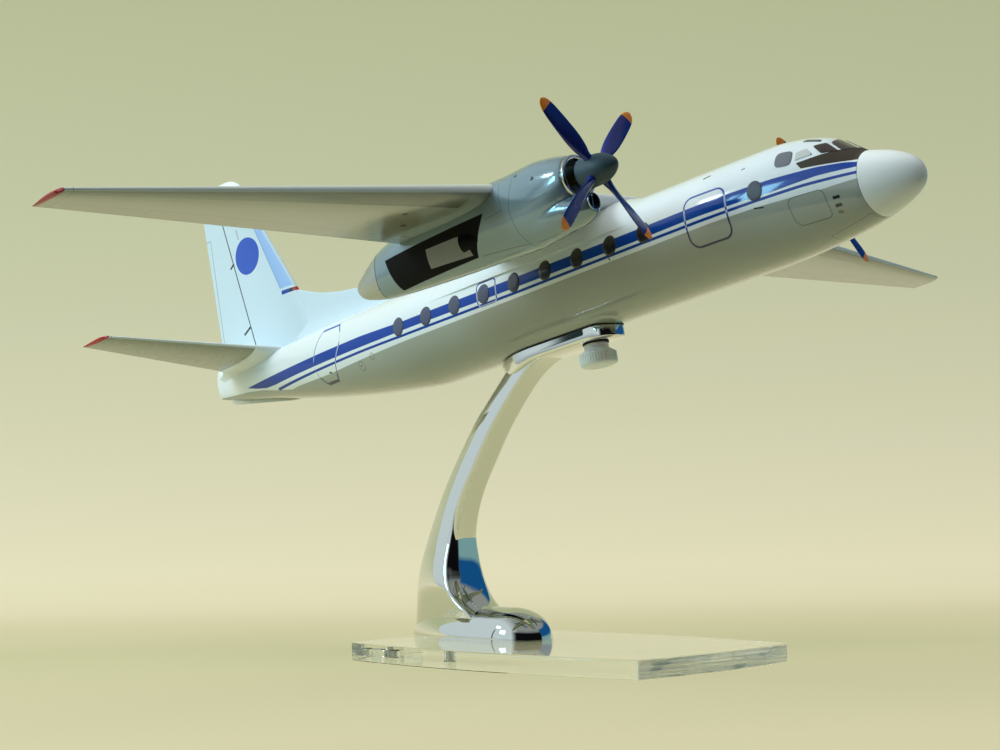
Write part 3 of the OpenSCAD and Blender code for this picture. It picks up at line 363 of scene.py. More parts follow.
def turned(name, profile, put, n=96, wave=lambda r, h, a: 0, **ends):
    """A turned piece from radii and lengths along its axis. put takes length and two sideways distances."""
    around = steps(0, 2 * math.pi * (n - 1) / n, n - 1)
    rings = []
    for r, h in profile:
        waved = [(r + wave(r, h, a), a) for a in around]
        rings.append([put(h, k * cos(a), k * sin(a)) for k, a in waved])
    return loft(name, rings, **ends)


def put_aft(s, y, z):
    """Places a turned piece whose axis runs aft from station s."""
    return lambda h, a, b: place(s + h, y + a, z + b)


def join(name, *pieces):
    pick(*pieces)
    bpy.ops.object.join()
    pieces[0].name = pieces[0].data.name = name
    return pieces[0]


def modify(piece, kind, **settings):
    pick(piece)
    m = piece.modifiers.new(kind.lower(), kind)
    for key, value in settings.items():
        setattr(m, key, value)
    bpy.ops.object.modifier_apply(modifier=m.name)
    return piece


def cut(piece, *tools):
    for tool in tools:
        modify(piece, "BOOLEAN", operation="DIFFERENCE", object=tool, solver="EXACT")
        bpy.data.objects.remove(tool)


def copied(piece, name, matrix):
    """A copy with its own mesh, moved by a matrix."""
    twin = piece.copy()
    twin.data = piece.data.copy()
    twin.name = twin.data.name = name
    bpy.context.collection.objects.link(twin)
    twin.data.transform(matrix)
    if matrix.determinant() < 0:
        twin.data.flip_normals()
    return twin


OTHER_SIDE = Matrix.Diagonal((1, -1, 1, 1))

# Shader maths

class Wire:
    """A socket, so that sums on it read as sums."""

    def __init__(self, nodes, socket):
        self.nodes, self.socket = nodes, socket

    def sum(self, operation, *values):
        return self.nodes.node("ShaderNodeMath", {"operation": operation}, *values)

    def __add__(self, other):
        return self.sum("ADD", self, other)

    def __sub__(self, other):
        return self.sum("SUBTRACT", self, other)

    def __rsub__(self, other):
        return self.sum("SUBTRACT", other, self)

    def __mul__(self, other):
        return self.sum("MULTIPLY", self, other)

    def __truediv__(self, other):
        return self.sum("DIVIDE", self, other)

    def __gt__(self, other):
        return self.sum("GREATER_THAN", self, other)

    def __lt__(self, other):
        return self.sum("LESS_THAN", self, other)

    def __abs__(self):
        return self.sum("ABSOLUTE", self)

    __radd__, __rmul__ = __add__, __mul__

    def top(self, other):
        return self.sum("MAXIMUM", self, other)

    def low(self, other):
        return self.sum("MINIMUM", self, other)

    def root(self):
        return self.sum("SQRT", self)


def either(*masks):
    """One where any of the masks is one."""
    total = masks[0]
    for mask in masks[1:]:
        total = total.top(mask)
    return total


def shade(*rgb):
    """Colour as it shows on a screen, from 0 to 255, made linear."""
    return tuple((v / 255 / 12.92 if v <= 10 else ((v / 255 + 0.055) / 1.055) ** 2.4) for v in rgb) + (1,)


class Nodes:
    """A node tree and the sums that go into it, with coordinates in millimetres."""

    def __init__(self, tree):
        self.tree = tree

    def fill(self, socket, value):
        if isinstance(value, Wire):
            self.tree.links.new(value.socket, socket)
        else:
            socket.default_value = value[:3] if socket.type == "VECTOR" else value

    def node(self, kind, settings, *values, out=0, **named):
        node = self.tree.nodes.new(kind)
        for key, value in settings.items():
            if key == "points":
                line = node.mapping.curves[0].points
                for p in value[1:-1]:
                    line.new(*p)
                line[0].location, line[-1].location = value[0], value[-1]
                for p in line:
                    p.handle_type = "VECTOR"
                node.mapping.update()
            elif key == "stops":
                for at, color in value[2:]:
                    node.color_ramp.elements.new(at)
                for stop, (at, color) in zip(node.color_ramp.elements, sorted(value)):
                    stop.position, stop.color = at, color
            else:
                setattr(node, key, value)
        for k, value in enumerate(values):
            if value is not None:
                self.fill(node.inputs[k], value)
        for key, value in named.items():
            self.fill(node.inputs[key.replace("_", " ")], value)
        return Wire(self, node.outputs[out])

    def split(self, spot):
        node = self.tree.nodes.new("ShaderNodeSeparateXYZ")
        self.fill(node.inputs[0], spot)
        return [Wire(self, node.outputs[i]) for i in range(3)]

    def axes(self, move=(0, 0, 0), turn=(0, 0, 0)):
        """Object coordinates in millimetres, turned and moved."""
        here = self.node("ShaderNodeTexCoord", {}, out=3)
        self.spot = self.node("ShaderNodeMapping", {}, here, move, turn, (1000, 1000, 1000))
        return self.split(self.spot)

    def aircraft(self):
        """Station, side and height of the aircraft."""
        move = (-BELLY_X * cos(CLIMB) - BELLY_Z * sin(CLIMB) - HOLD_S, 0,
                BELLY_X * sin(CLIMB) - BELLY_Z * cos(CLIMB) - HALF_H)
        x, y, z = self.axes(move, (0, CLIMB, 0))
        return 0 - x, y, z

    def mix(self, share, a, b):
        return self.node("ShaderNodeMix", {"data_type": "RGBA"}, share, None, None, None, None, None, a, b,
                         out=2)

    def blend(self, share, a, b):
        """Two shaders mixed by a share."""
        return self.node("ShaderNodeMixShader", {}, share, a, b)

    def noise(self, scale, detail, spot=None):
        return self.node("ShaderNodeTexNoise", {"noise_dimensions": "3D"}, Vector=spot or self.spot,
                         Scale=scale, Detail=detail)

    def ramp(self, value, a, b, lo=0, hi=1):
        """Value carried from the span a to b over to lo to hi, and held there."""
        return self.node("ShaderNodeMapRange", {"clamp": True}, value, a, b, lo, hi)

    def over(self, value, edge, soft=0.06):
        """One where value is over the edge, with a soft rim."""
        return self.ramp(value - edge, -soft, soft)

    def line(self, s, *knots):
        """Height of a painted edge by station, within reach of the axis."""
        s0, s1, reach = knots[0][0], knots[-1][0], 30
        points = [((a - s0) / (s1 - s0), (b + reach) / (2 * reach)) for a, b in knots]
        curve = self.node("ShaderNodeFloatCurve", {"points": points}, 1, (s - s0) / (s1 - s0))
        return curve * (2 * reach) - reach

    def frame(self, u, v, u0, u1, v0, v1, r):
        """Distance outside a rounded rectangle."""
        a = abs(u - (u0 + u1) / 2) - ((u1 - u0) / 2 - r)
        b = abs(v - (v0 + v1) / 2) - ((v1 - v0) / 2 - r)
        ax, bx = a.top(0), b.top(0)
        return (ax * ax + bx * bx).root() + a.top(b).low(0) - r

    def stroke(self, distance, width, soft=0.05):
        """One on a thin line where the distance is nothing."""
        return 1 - self.ramp(abs(distance), width / 2 - soft, width / 2 + soft)

    def inside(self, u, v, *corners, soft=0.06):
        """One inside a convex outline whose corners run against the clock."""
        sides = []
        for (u0, v0), (u1, v1) in zip(corners, corners[1:] + corners[:1]):
            l = math.hypot(u1 - u0, v1 - v0)
            a, b = (v1 - v0) / l, (u0 - u1) / l
            sides.append(u * a + v * b - (u0 * a + v0 * b))
        return 1 - self.ramp(either(*sides), -soft, soft)

    def dash(self, u, v, a, b, width, soft=0.05):
        """One on a straight line of that width from a to b."""
        l = math.dist(a, b)
        x, y = (b[0] - a[0]) / l, (b[1] - a[1]) / l
        along = u * x + v * y - (a[0] * x + a[1] * y)
        off = abs(v * x - u * y - (a[1] * x - a[0] * y)) - width / 2
        return 1 - self.ramp(off.top(0 - along).top(along - l), -soft, soft)

    def dashes(self, u, v, *marks):
        """One on any of several straight lines, each with its ends and width."""
        return either(*(self.dash(u, v, *mark) for mark in marks))

    def round(self, u, v, a, b, r):
        """Distance outside a circle."""
        x, y = u - a, v - b
        return (x * x + y * y).root() - r

    def tip(self, a, x, end, r):
        """One on the rim of a wing tip, at span a and share x of the chord."""
        return self.over(a + self.ramp(x, 0, 0.2, r * 0.5, 0), end - r)

    def wrap(self, value, half):
        """Value carried back into a span about nothing, again and again."""
        return self.node("ShaderNodeMath", {"operation": "WRAP"}, value, half, -half)

    def dish(self, u, v, a, b):
        """One inside an oval with half sizes a and b."""
        u, v = u / a, v / b
        return self.over(1, u * u + v * v, 0.04)


class Paint(Nodes):
    """One material, painted layer over layer."""

    def __init__(self, name, color=(0.8, 0.8, 0.8, 1), **sockets):
        self.material = bpy.data.materials.new(name)
        self.material.use_nodes = True
        super().__init__(self.material.node_tree)
        self.surface, self.color = self.tree.nodes["Principled BSDF"], color
        self.shader = Wire(self, self.surface.outputs[0])
        self.set("Base Color", color)
        for key, value in sockets.items():
            self.set(key.replace("_", " "), value)

    def set(self, socket, value):
        self.fill(self.surface.inputs[socket], value)

    def show(self, shader):
        self.fill(self.tree.nodes["Material Output"].inputs[0], shader)

    def lay(self, share, color):
        """Puts a colour over what is painted so far."""
        self.color = self.mix(share, self.color, color)

    def wear(self, tint=0.012, rough=0.25, spread=0.03, bump=0.006):
        """Slow changes of tone, uneven gloss and a fine skin on the surface."""
        slow, fine = self.noise(0.03, 2), self.noise(0.2, 3)
        dim = self.ramp(slow, 0.3, 0.7, 1 - tint, 1 + tint)
        toned = self.node("ShaderNodeVectorMath", {"operation": "SCALE"}, self.color, None, None, dim)
        self.set("Base Color", toned)
        if spread:
            rough = self.ramp(fine, 0.3, 0.7, rough - spread, rough + spread)
        self.set("Roughness", rough)
        if bump:
            self.set("Normal", self.node("ShaderNodeBump", {}, Strength=bump, Distance=0.0004, Height=fine))
        return self


def dress(piece, paint, body="airliner", slot=None, nodes=()):
    """Gives a piece its material and body, and hides the nodes it stands for; the slot is not used."""
    piece.data.materials.clear()
    piece.data.materials.append(paint.material)
    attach(piece, body)
    if nodes:
        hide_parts(*nodes)
    return piece


def keep(node, paint):
    """A node that stays as it is gets its material."""
    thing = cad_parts[node]
    for holder in thing.material_slots:
        holder.material = paint.material
    if not thing.material_slots:
        thing.data.materials.append(paint.material)


# Finishes

# PALE is the upper-side paint of the wings and tailplanes, made paler as a painted highlight from the light
# above.
WHITE, GREY, PALE = shade(236, 244, 246), shade(164, 170, 160), shade(226, 234, 228)
BLUE, NAVY = shade(4, 66, 164), shade(22, 34, 80)
INK, ROSE, SUN = shade(44, 46, 48), shade(186, 28, 42), shade(255, 150, 28)


def body_paint():
    p = Paint("body_paint", WHITE, Coat_Weight=0.7, Coat_Roughness=0.05, Specular_IOR_Level=0.35)
    s, y, z = p.aircraft()
    grey = p.over(p.line(s, (14, -3), (25, -3.4), (34, -3.2), (43, -2.9), (240, -4.1), (262, -3), (268, -2.9),
                         (280, -0.3), (286, 1.2), (296, 2.9), (319, 6), (330, 7)), z)
    p.lay(grey, GREY)
    low = p.line(s, (14.5, 0.5), (21, 0.7), (25.5, 0.8), (39, 0.1), (71, 0.2), (89, -0.1), (150, -0.25),
                 (207, -0.1), (230, 0.25), (256, 0.6), (276, 0.8), (282.5, 1.2), (289, 2.5), (296, 4.4))
    top = p.line(s, (14.5, 2), (17.5, 2.7), (25.5, 3.45), (39, 3.9), (60, 3.7), (89, 3.3), (148, 3),
                 (196, 2.9), (218, 3.8), (242, 4), (276, 4.1), (296, 4.2))
    broad = p.over(z, low) * p.over(top, z) * (s < 296)
    thin = p.line(s, (14.5, -1.2), (30, -0.78), (60, -1.3), (89, -1.4), (140, -1.85), (196, -1.85),
                  (218, -1.45), (244, -1.2), (270, -1.02), (276, -1))
    stripes = broad.top(p.stroke(z - thin, 0.88) * (s < 276))
    p.lay(stripes, BLUE)
    rims = p.dish(p.wrap(s - ROW_S, ROW_STEP / 2), z - ROW_Z, 2.75, 3.25) * (s > 79) * (s < 204.4)
    p.lay(rims.top(p.dish(s - FRONT_S, z - FRONT_Z, 2.6, 3)), shade(58, 60, 70))
    low = p.line(s, (14.5, 2.8), (29.8, 4.3), (31.4, 6.5), (31.5, 29), (60, 29))
    top = p.line(s, (14.5, 29), (16.4, 29), (16.5, 9.2), (20, 7.6), (26, 6.9), (32, 6.4), (60, 6.4))
    panel = (z > low) * (top > z)
    p.lay(panel, shade(66, 58, 48))
    front = p.stroke(p.frame(s, z, 54.8, 69.8, -8.4, 6.7, 3), 0.6)
    top = p.line(s, (230, 0), (231, 9), (233, 12), (243, 12.2), (247.4, 2), (247.5, 0))
    low = p.line(s, (230, 6), (231.5, 3.5), (234.5, -1), (236.4, -5), (238, -6.9), (245, -6.6), (247, -4),
                 (247.4, -2))
    rear = p.stroke((top - z).low(z - low), 0.9) * (s > 230) * (s < 247.6)
    escape = p.stroke(p.frame(s, z, 150.2, 158.8, -2.2, 5.6, 1.4), 0.5)
    seam = p.mix(stripes, p.mix(grey, shade(40, 78, 168), NAVY), shade(176, 188, 206))
    p.lay(either(front, rear, escape), seam)
    hatch = p.stroke(p.frame(s, z, 24.5, 35.5, -11.2, -3.3, 1.8), 0.3) * 0.75
    gear = p.stroke(p.frame(s, y, 15.2, 30, -5.4, 5.4, 0.3), 0.3) * (z < -9) * 0.6
    rings = [p.stroke(p.round(s, z, *ring), 0.3) * 0.6 for ring in ((221.3, -6, 1.5), (214, -4.4, 1.1))]
    p.lay(either(hatch, gear, *rings), shade(96, 98, 84))
    marks = p.dashes(s, z, ((20.4, -6.6), (22.5, -6.6), 0.9), ((20.7, -8.8), (22.7, -8.8), 0.9),
                     ((61.8, 12.4), (64.4, 12), 0.5), ((48.4, 10.3), (49.6, 10.1), 0.35),
                     ((42.9, -3.5), (46, -3), 0.45), ((238.9, -4), (240.4, -3.6), 0.6))
    p.lay(marks.top(p.round(s, z, 221.5, -5.9, 0.3) < 0), INK)
    p.lay(p.dashes(s, z, ((21.4, -10.6), (22.9, -10.5), 0.8), ((101, -2.9), (101.3, -2), 0.5)),
          shade(128, 118, 84))
    p.wear(tint=0.01, rough=mix(0.14, 0.6, panel), spread=0)
    p.set("Coat Weight", 0.7 - (panel * 0.7).top(stripes * p.over(s, 84, 6) * 0.6))
    return p


def wing_paint():
    p = Paint("wing_paint", shade(158, 163, 152), Coat_Weight=0.8, Coat_Roughness=0.12)
    s, y, z = p.aircraft()
    a = abs(y)
    le, le_z, chord, fall = wing_plan(p.ramp(a, 0, NAC_Y), p.ramp(a, NAC_Y, TIP_Y))
    x = (s - le) / chord
    chord_z = le_z - x * fall
    below = z < chord_z
    # Dark band under the leading edge: the de-icer band, darkened towards its rear edge and near the root as a
    # painted reflection of the dark room.
    strip = (a > 69) * p.over(0.165, x, 0.004) * (a < AILERON_Y)
    p.lay(strip * p.ramp(x, 0.02, 0.165, 0.15, 0.75) * p.ramp(a, 80, 150, 1, 0.25) * below, shade(80, 82, 76))
    # Pale upper side, reaching over the nose of the leading edge: two-tone paint, made paler as a painted
    # highlight from the light above.
    p.lay(p.over(z, chord_z - p.ramp(x, 0.004, 0.05, 0.8, 0), 0.12), PALE)
    p.lay(p.over(20.4, a, 0.1), WHITE)
    patch = p.inside(s, a, (119.4, 92.4), (119.2, 78.6), (129.7, 70.6), (141, 70.6), (139.5, 79), (137, 86))
    p.lay(patch * below * 0.4, shade(150, 142, 104))
    hinge = p.line(a, (58, 12), (98, 8.7), (134, 4.3), (156, 2.8), (199, 1)) + 130
    ends = [p.stroke(a - k, 0.26) * (s > hinge) for k in (97, 133, 167)]
    lines = either(p.stroke(s - hinge, 0.28) * (a > 60) * (a < AILERON_Y), *ends, p.stroke(a - AILERON_Y, 0.3))
    p.lay(lines * 0.55, shade(110, 108, 92))
    holes = [p.round(s, a, *hole, 0.9) < 0 for hole in ((121.1, 84.1), (130.7, 76.1), (130, 90.9))]
    p.lay(holes[0].top(holes[1]) * below * 0.9, INK)
    p.lay(holes[2] * below * 0.4, shade(120, 110, 80))
    p.lay(p.tip(a, x, TIP_Y, 1.3), ROSE)
    return p.wear(rough=0.24)


def tailplane_paint():
    p = Paint("tailplane_paint", shade(156, 161, 150), Coat_Weight=0.4, Coat_Roughness=0.1)
    s, y, z = p.aircraft()
    a = abs(y)
    le, chord = tailplane_plan(a)
    x = (s - le) / chord
    # Pale upper side, reaching over the nose of the leading edge: two-tone paint, made paler as a painted
    # highlight from the light above.
    p.lay(p.over(z, PLANE_Z + a * 0.196 - x * 0.6 - p.ramp(x, 0.004, 0.05, 0.6, 0), 0.1), PALE)
    lines = p.stroke(x - 0.7, 0.012, 0.003).top(p.stroke(a - 59, 0.25) * (x < 0.7))
    p.lay(lines * 0.5, shade(96, 94, 80))
    p.lay(p.tip(a, x, PLANE_Y, 1.1), ROSE)
    return p.wear(rough=0.26)


def fin_paint():
    p = Paint("fin_paint", shade(214, 233, 242), Coat_Weight=0.5, Coat_Roughness=0.08)
    s, y, z = p.aircraft()
    le, foot = fin_le(z), 37.4
    back = le + 6.9 - (z - foot) * 0.12
    # Pale blue strip along the leading edge with a deeper blue rim at its rear: the strip is real, its blue
    # tones are a painted reflection of the cool window light.
    p.lay(p.over(z, foot) * p.over(s, le + 0.9) * p.over(back, s) * (z < 77), shade(160, 198, 246))
    p.lay(p.stroke(s - back, 0.5) * (z > foot) * 0.6, shade(120, 160, 214))
    band = p.inside(s, z, (264, 34.9), (274.4, 34.9), (274.4, 36.4), (264, 36.4)) * (s > le)
    p.lay(band, p.mix(s > 268.6, ROSE, p.mix(s > 270.6, INK, BLUE)))
    p.lay(p.over(0, p.round(s, z, 291.4, 54.8, 7.1)), shade(26, 84, 196))
    lines = p.dashes(s, z, ((293, 20), (304.2, 72.5), 0.55), ((302.4, 52.6), (299.9, 54.2), 0.9),
                     ((299.4, 25.9), (295, 27.9), 0.9))
    thin = p.dashes(s, z, ((313.1, 67), (313.2, 25.6), 0.3), ((313.1, 67), (317, 67), 0.3)) * 0.6
    faint = p.dash(s, z, (295.9, 66.5), (295.2, 62.4), 0.8) * 0.36
    p.lay(either(lines, thin, faint), INK)
    return p.wear(tint=0.006, rough=0.2)


def nacelle_paint():
    p = Paint("nacelle_paint", shade(134, 156, 164), Coat_Weight=0.7, Coat_Roughness=0.05)
    s, y, z = p.aircraft()
    out = abs(y) - NAC_Y
    side = out > 0
    cowl = p.line(z, (-6, -4.5), (-2, -3), (3, -1.4), (9, -0.5), (16, -1.6), (24, -3)) + 100
    seams = either(p.stroke(s - cowl, 0.28),
                   p.dashes(s, z, ((115.6, 0.1), (96.6, -1.4), 0.26), ((103.6, 19), (102.6, 10), 0.22),
                            ((102.6, 10), (109.4, 9.4), 0.22)),
                   p.stroke(p.frame(s, out, 83.8, 89.6, -3, 2.4, 0.3), 0.3) * (z < 0))
    p.lay(seams * 0.6, shade(84, 88, 78))
    soot = p.inside(s, z, (117.2, 0.1), (153.4, 0), (156.8, 10.4), (110, 11.5)) * side
    p.lay(soot, shade(14, 14, 14))
    plate = p.inside(s, z, (118.6, 1.1), (136.8, 2.1), (136.4, 8), (123.6, 7.8), (119, 7.4)) * side
    p.lay(plate, shade(158, 162, 160))
    dots = p.inside(s, z, (88.2, 15.2), (90, 15.2), (89.2, 16.6)).top(p.dash(s, z, (96, 19), (97.2, 18.8), 0.7))
    p.lay(dots * side, INK)
    p.wear(tint=0.01, rough=mix(0.16, 0.8, soot), spread=0)
    p.set("Coat Weight", mix(0.7, 0, soot))
    p.set("Metallic", mix(0.4, 0.6, soot))
    return p


def blade_paint(name, side):
    p = Paint(name, shade(26, 44, 132), Coat_Weight=0.25, Coat_Roughness=0.15)
    s, y, z = p.aircraft()
    p.lay(p.over(p.round(y, z, side * NAC_Y, PROP_Z, 0), BLADE_R - 2.9), SUN)
    return p.wear(tint=0.02, rough=0.25)


def pane_paint():
    p = Paint("cockpit_pane", shade(60, 46, 44), Coat_Weight=0.6, Coat_Roughness=0.03)
    s, y, z = p.aircraft()
    # Side panes pale grey-white from station 27.2 to 32.3 and grey aft of it, front panes dark brown: painted
    # reflection on the glass, with the white inside seen through the pale pane.
    light = p.mix(p.over(s, 32.3), shade(206, 208, 204), shade(110, 114, 120))
    p.lay(p.over(s, 27.2) * p.over(abs(y), 9.6), light)
    return p.wear(rough=0.15, bump=0)


def porthole_paint():
    p = Paint("cabin_pane", shade(32, 30, 32), Coat_Weight=0.6, Coat_Roughness=0.03)
    s, y, z = p.aircraft()
    # Rear panes turn slate blue: a painted reflection of the bluish wall at a grazing angle.
    p.lay(p.ramp(s, 136, 152), shade(66, 74, 102))
    front = p.over(60, s)
    p.lay(front, shade(70, 74, 84))
    p.wear(rough=mix(0.15, 0.45, front), spread=0, bump=0)
    p.set("Coat Weight", mix(0.6, 0, front))
    return p


def plain(name, color, tint=0.012, rough=0.3, spread=0.04, bump=0.006, **sockets):
    p = Paint(name, color, **sockets)
    p.aircraft()
    return p.wear(tint, rough, spread, bump)


def clear_acrylic():
    """Clear inside and on its polished faces; the sawn end is rougher, with pale blue-white and slate streaks
    painted on it as reflection of light carried inside the sheet.
    """
    p = Paint("clear_acrylic", shade(252, 255, 255), Roughness=0.02, IOR=1.49, Transmission_Weight=1)
    x, y, z = p.axes()
    streak_noise = p.noise(1, 2, p.node("ShaderNodeCombineXYZ", {}, x * 0.05, y * 0.035, z * 1.3))
    broad = p.noise(1, 1, p.node("ShaderNodeCombineXYZ", {}, x * 0.05, y * 0.12 + 7, z * 0.35))
    # Streak colours on the end: painted reflection.
    tone = p.mix(p.ramp(broad, 0.56, 0.68), shade(250, 254, 255), shade(140, 172, 190))
    sawn = p.node("ShaderNodeBsdfPrincipled", {}, Base_Color=tone, Roughness=0.25)
    end = p.over(x, PLATE_X - 0.3, 0.2) * (z > 0.3) * (z < PLATE_T - 0.3) * p.ramp(streak_noise, 0.36, 0.6, 0.25, 0.85)
    shadow = p.node("ShaderNodeLightPath", {}, out=1)
    clear = p.node("ShaderNodeBsdfTransparent", {}, shade(250, 251, 250))
    p.show(p.blend(shadow, p.blend(end, p.shader, sawn), clear))
    return p


BODY, WING, PLANE, FIN, NACELLE = body_paint(), wing_paint(), tailplane_paint(), fin_paint(), nacelle_paint()
BLADES = {name: blade_paint("blade_paint_" + name, side) for side, name in SIDES}
PANE, PORTHOLE, ACRYLIC = pane_paint(), porthole_paint(), clear_acrylic()
RADOME = plain("radome_paint", shade(248, 252, 250), tint=0.006, rough=0.34, Coat_Weight=0.4,
               Coat_Roughness=0.22)
LIP = plain("lip_metal", shade(205, 208, 206), rough=0.16, Metallic=1)
CONE = plain("tail_metal", shade(186, 190, 186), rough=0.3, Metallic=0.8)
SPINNER = plain("spinner_paint", shade(50, 74, 84), rough=0.5)
CHROME = plain("chrome_cast", shade(226, 228, 226), tint=0.004, rough=0.03, spread=0.01, bump=0.002, Metallic=1)
STEEL = plain("steel", shade(178, 182, 184), rough=0.25, Metallic=1)
KNOB = plain("white_knob", shade(250, 252, 248), rough=0.35, Subsurface_Weight=0.3)
SOOT = plain("soot_metal", shade(30, 30, 30), rough=0.6, Metallic=1)
# Black matte, for the thin pad between saddle and belly and the washer between saddle and knob.
BLACK_MATTE = plain("black_foam", shade(30, 30, 32), rough=0.85)
BRASS = plain("brass_part", shade(190, 150, 70), rough=0.3, Metallic=1)
RESIN = plain("block_resin", shade(180, 178, 166), rough=0.6)
HUB = plain("hub_dark", shade(46, 48, 52), rough=0.45)
# Keel: the grey of the belly, made lighter and warmer as painted light from the floor below.
KEEL = plain("belly_paint", shade(210, 208, 188), rough=0.3)

# Fuselage

AROUND = steps(0, rad(355), 71)


def body_ring(s, d=0):
    return [skin(s, q, d) for q in AROUND]


def fuselage():
    end, screen_end, joint = BODY_L - 4.4, SCREEN_S + SCREEN_L, RADOME_S + 0.12
    stations = [joint, 14.9, 15.4, SCREEN_S, SCREEN_S + 0.02] + steps(SCREEN_S + 0.9, screen_end, 9)[:-1] + [
        screen_end] + steps(25.2, 66, 50) + steps(70, TAPER_S, 30)[:-1] + steps(TAPER_S, end, 80)
    tail = [[mix(place(end + 1, 0, 11), p, k) - Vector((1, 0, 0)) * MM * d for p in body_ring(end)]
            for k, d in ((0.92, 0.25), (0.75, 0.5), (0.4, 0.6))]
    body = loft("fuselage_skin", [body_ring(joint, -0.25)] + [body_ring(s) for s in stations] + tail,
                last="point", angle=24)
    dress(body, BODY, slot="body_paint", nodes=("fuselage_left", "fuselage_right"))
    stretch = place(0, 0, 0) - place(0.075, 0, 0)
    nose = (0.04, 0.15, 0.4, 0.8, 1.4, 2.1, 3, 4, 5.2, 6.5, 8, 9.5, 11, 12.5, 13.6, 14.2, 14.42)
    rings = [[v + stretch * (RADOME_S - s) for v in body_ring(s)] for s in nose]
    radome = loft("radome_shell", rings + [body_ring(RADOME_S, -0.12), body_ring(RADOME_S + 0.05, -0.5)],
                  first="point")
    dress(radome, RADOME, slot="radome_paint", nodes=("nose_radome",))


fuselage()


# Wings

def fairing_ring(s):
    g = ease((s - 92) / 31) * ease((182 - s) / 36)
    h, e = HALF_H + 6 * g, 2.1 + 0.4 * g
    qc = math.acos((6 / h) ** (e / 2))
    return [place(s, *oval(q, HALF_W + 0.02, h, 0, e)) for q in steps(-qc, qc, 48)]


def wings():
    bar = loft("wing_bar", [wing_ring(y) for y in steps(-51.9, 51.9, 24)])
    root = loft("root_fairing", [fairing_ring(s) for s in steps(92, 182, 60)])
    dress(join("wing_center_skin", bar, root), WING, slot="wing_paint", nodes=("wing_center",))
    wing_y = steps(57.9, 200.6, 24) + [201, 201.4, 201.7, 202, 202.25, 202.42, 202.54, 202.62, 202.68, TIP_Y]
    plane_y = steps(2, 59.8, 18) + [60.2, 60.6, 60.85, 61.05, 61.2, 61.3, 61.36, PLANE_Y]
    for side, name in SIDES:
        panel = loft("wing_skin_" + name, [wing_ring(side * y) for y in wing_y])
        dress(panel, WING, slot="wing_paint", nodes=("wing_" + name,))
        plane = loft("tailplane_skin_" + name, [tailplane_ring(side * y) for y in plane_y])
        dress(plane, PLANE, slot="wing_paint", nodes=("tailplane_" + name,))
        glove = loft("tailplane_fairing_" + name, [glove_ring(side, t) for t in steps(0, 1, 10)])
        dress(glove, BODY, slot="body_paint")


wings()


# Tail fin

def fin():
    blade = loft("fin_body", [fin_ring(z, fin_le(z), fin_te(z), mix(5, 2.5, (z - HALF_H) / 60.3))
                              for z in steps(9.2, 77.2, 26) + [77.4]])
    fillet = loft("dorsal", [dorsal_ring(s) for s in steps(196, 276, 40)])
    dress(join("fin_skin", blade, fillet), FIN, slot="fin_paint", nodes=("tail_fin",))
    shares = (0, 0.01, 0.12, 0.25, 0.38, 0.5, 0.6, 0.7, 0.78, 0.85, 0.9, 0.94, 0.97, 0.99, 1)
    cap = loft("fin_cap_skin", [cap_ring(u) for u in shares])
    dress(cap, RADOME, slot="fin_paint", nodes=("fin_cap",))
    keep("ventral_keel", KEEL)


fin()


# Nacelles

# Cooler intake under a nacelle: station, lowest height, half height and half width
CHIN = ((74.2, 1.9, 2.9, 2.9), (74.7, 1.45, 3.12, 3.4), (76, 0.5, 3.6, 4.4), (77.6, -0.1, 3.9, 5),
        (79.4, -0.6, 4.4, 5.6), (83, -1.1, 5.4, 6.4), (88, -1.7, 6, 6.9), (98, -2.4, 6.4, 7))


def chin_ring(s):
    low, h, w = (glide(s, *((r[0], r[k]) for r in CHIN)) for k in (1, 2, 3))
    outline = [oval(q, w, h, h, 2) for q in steps(0, rad(354), 59)]
    return [place(s, NAC_Y + y, low + z) for y, z in outline]


def bore(name, r, s0, s1, z):
    return turned(name, [(r, 0), (r, s1 - s0)], put_aft(s0, NAC_Y, z), n=72)


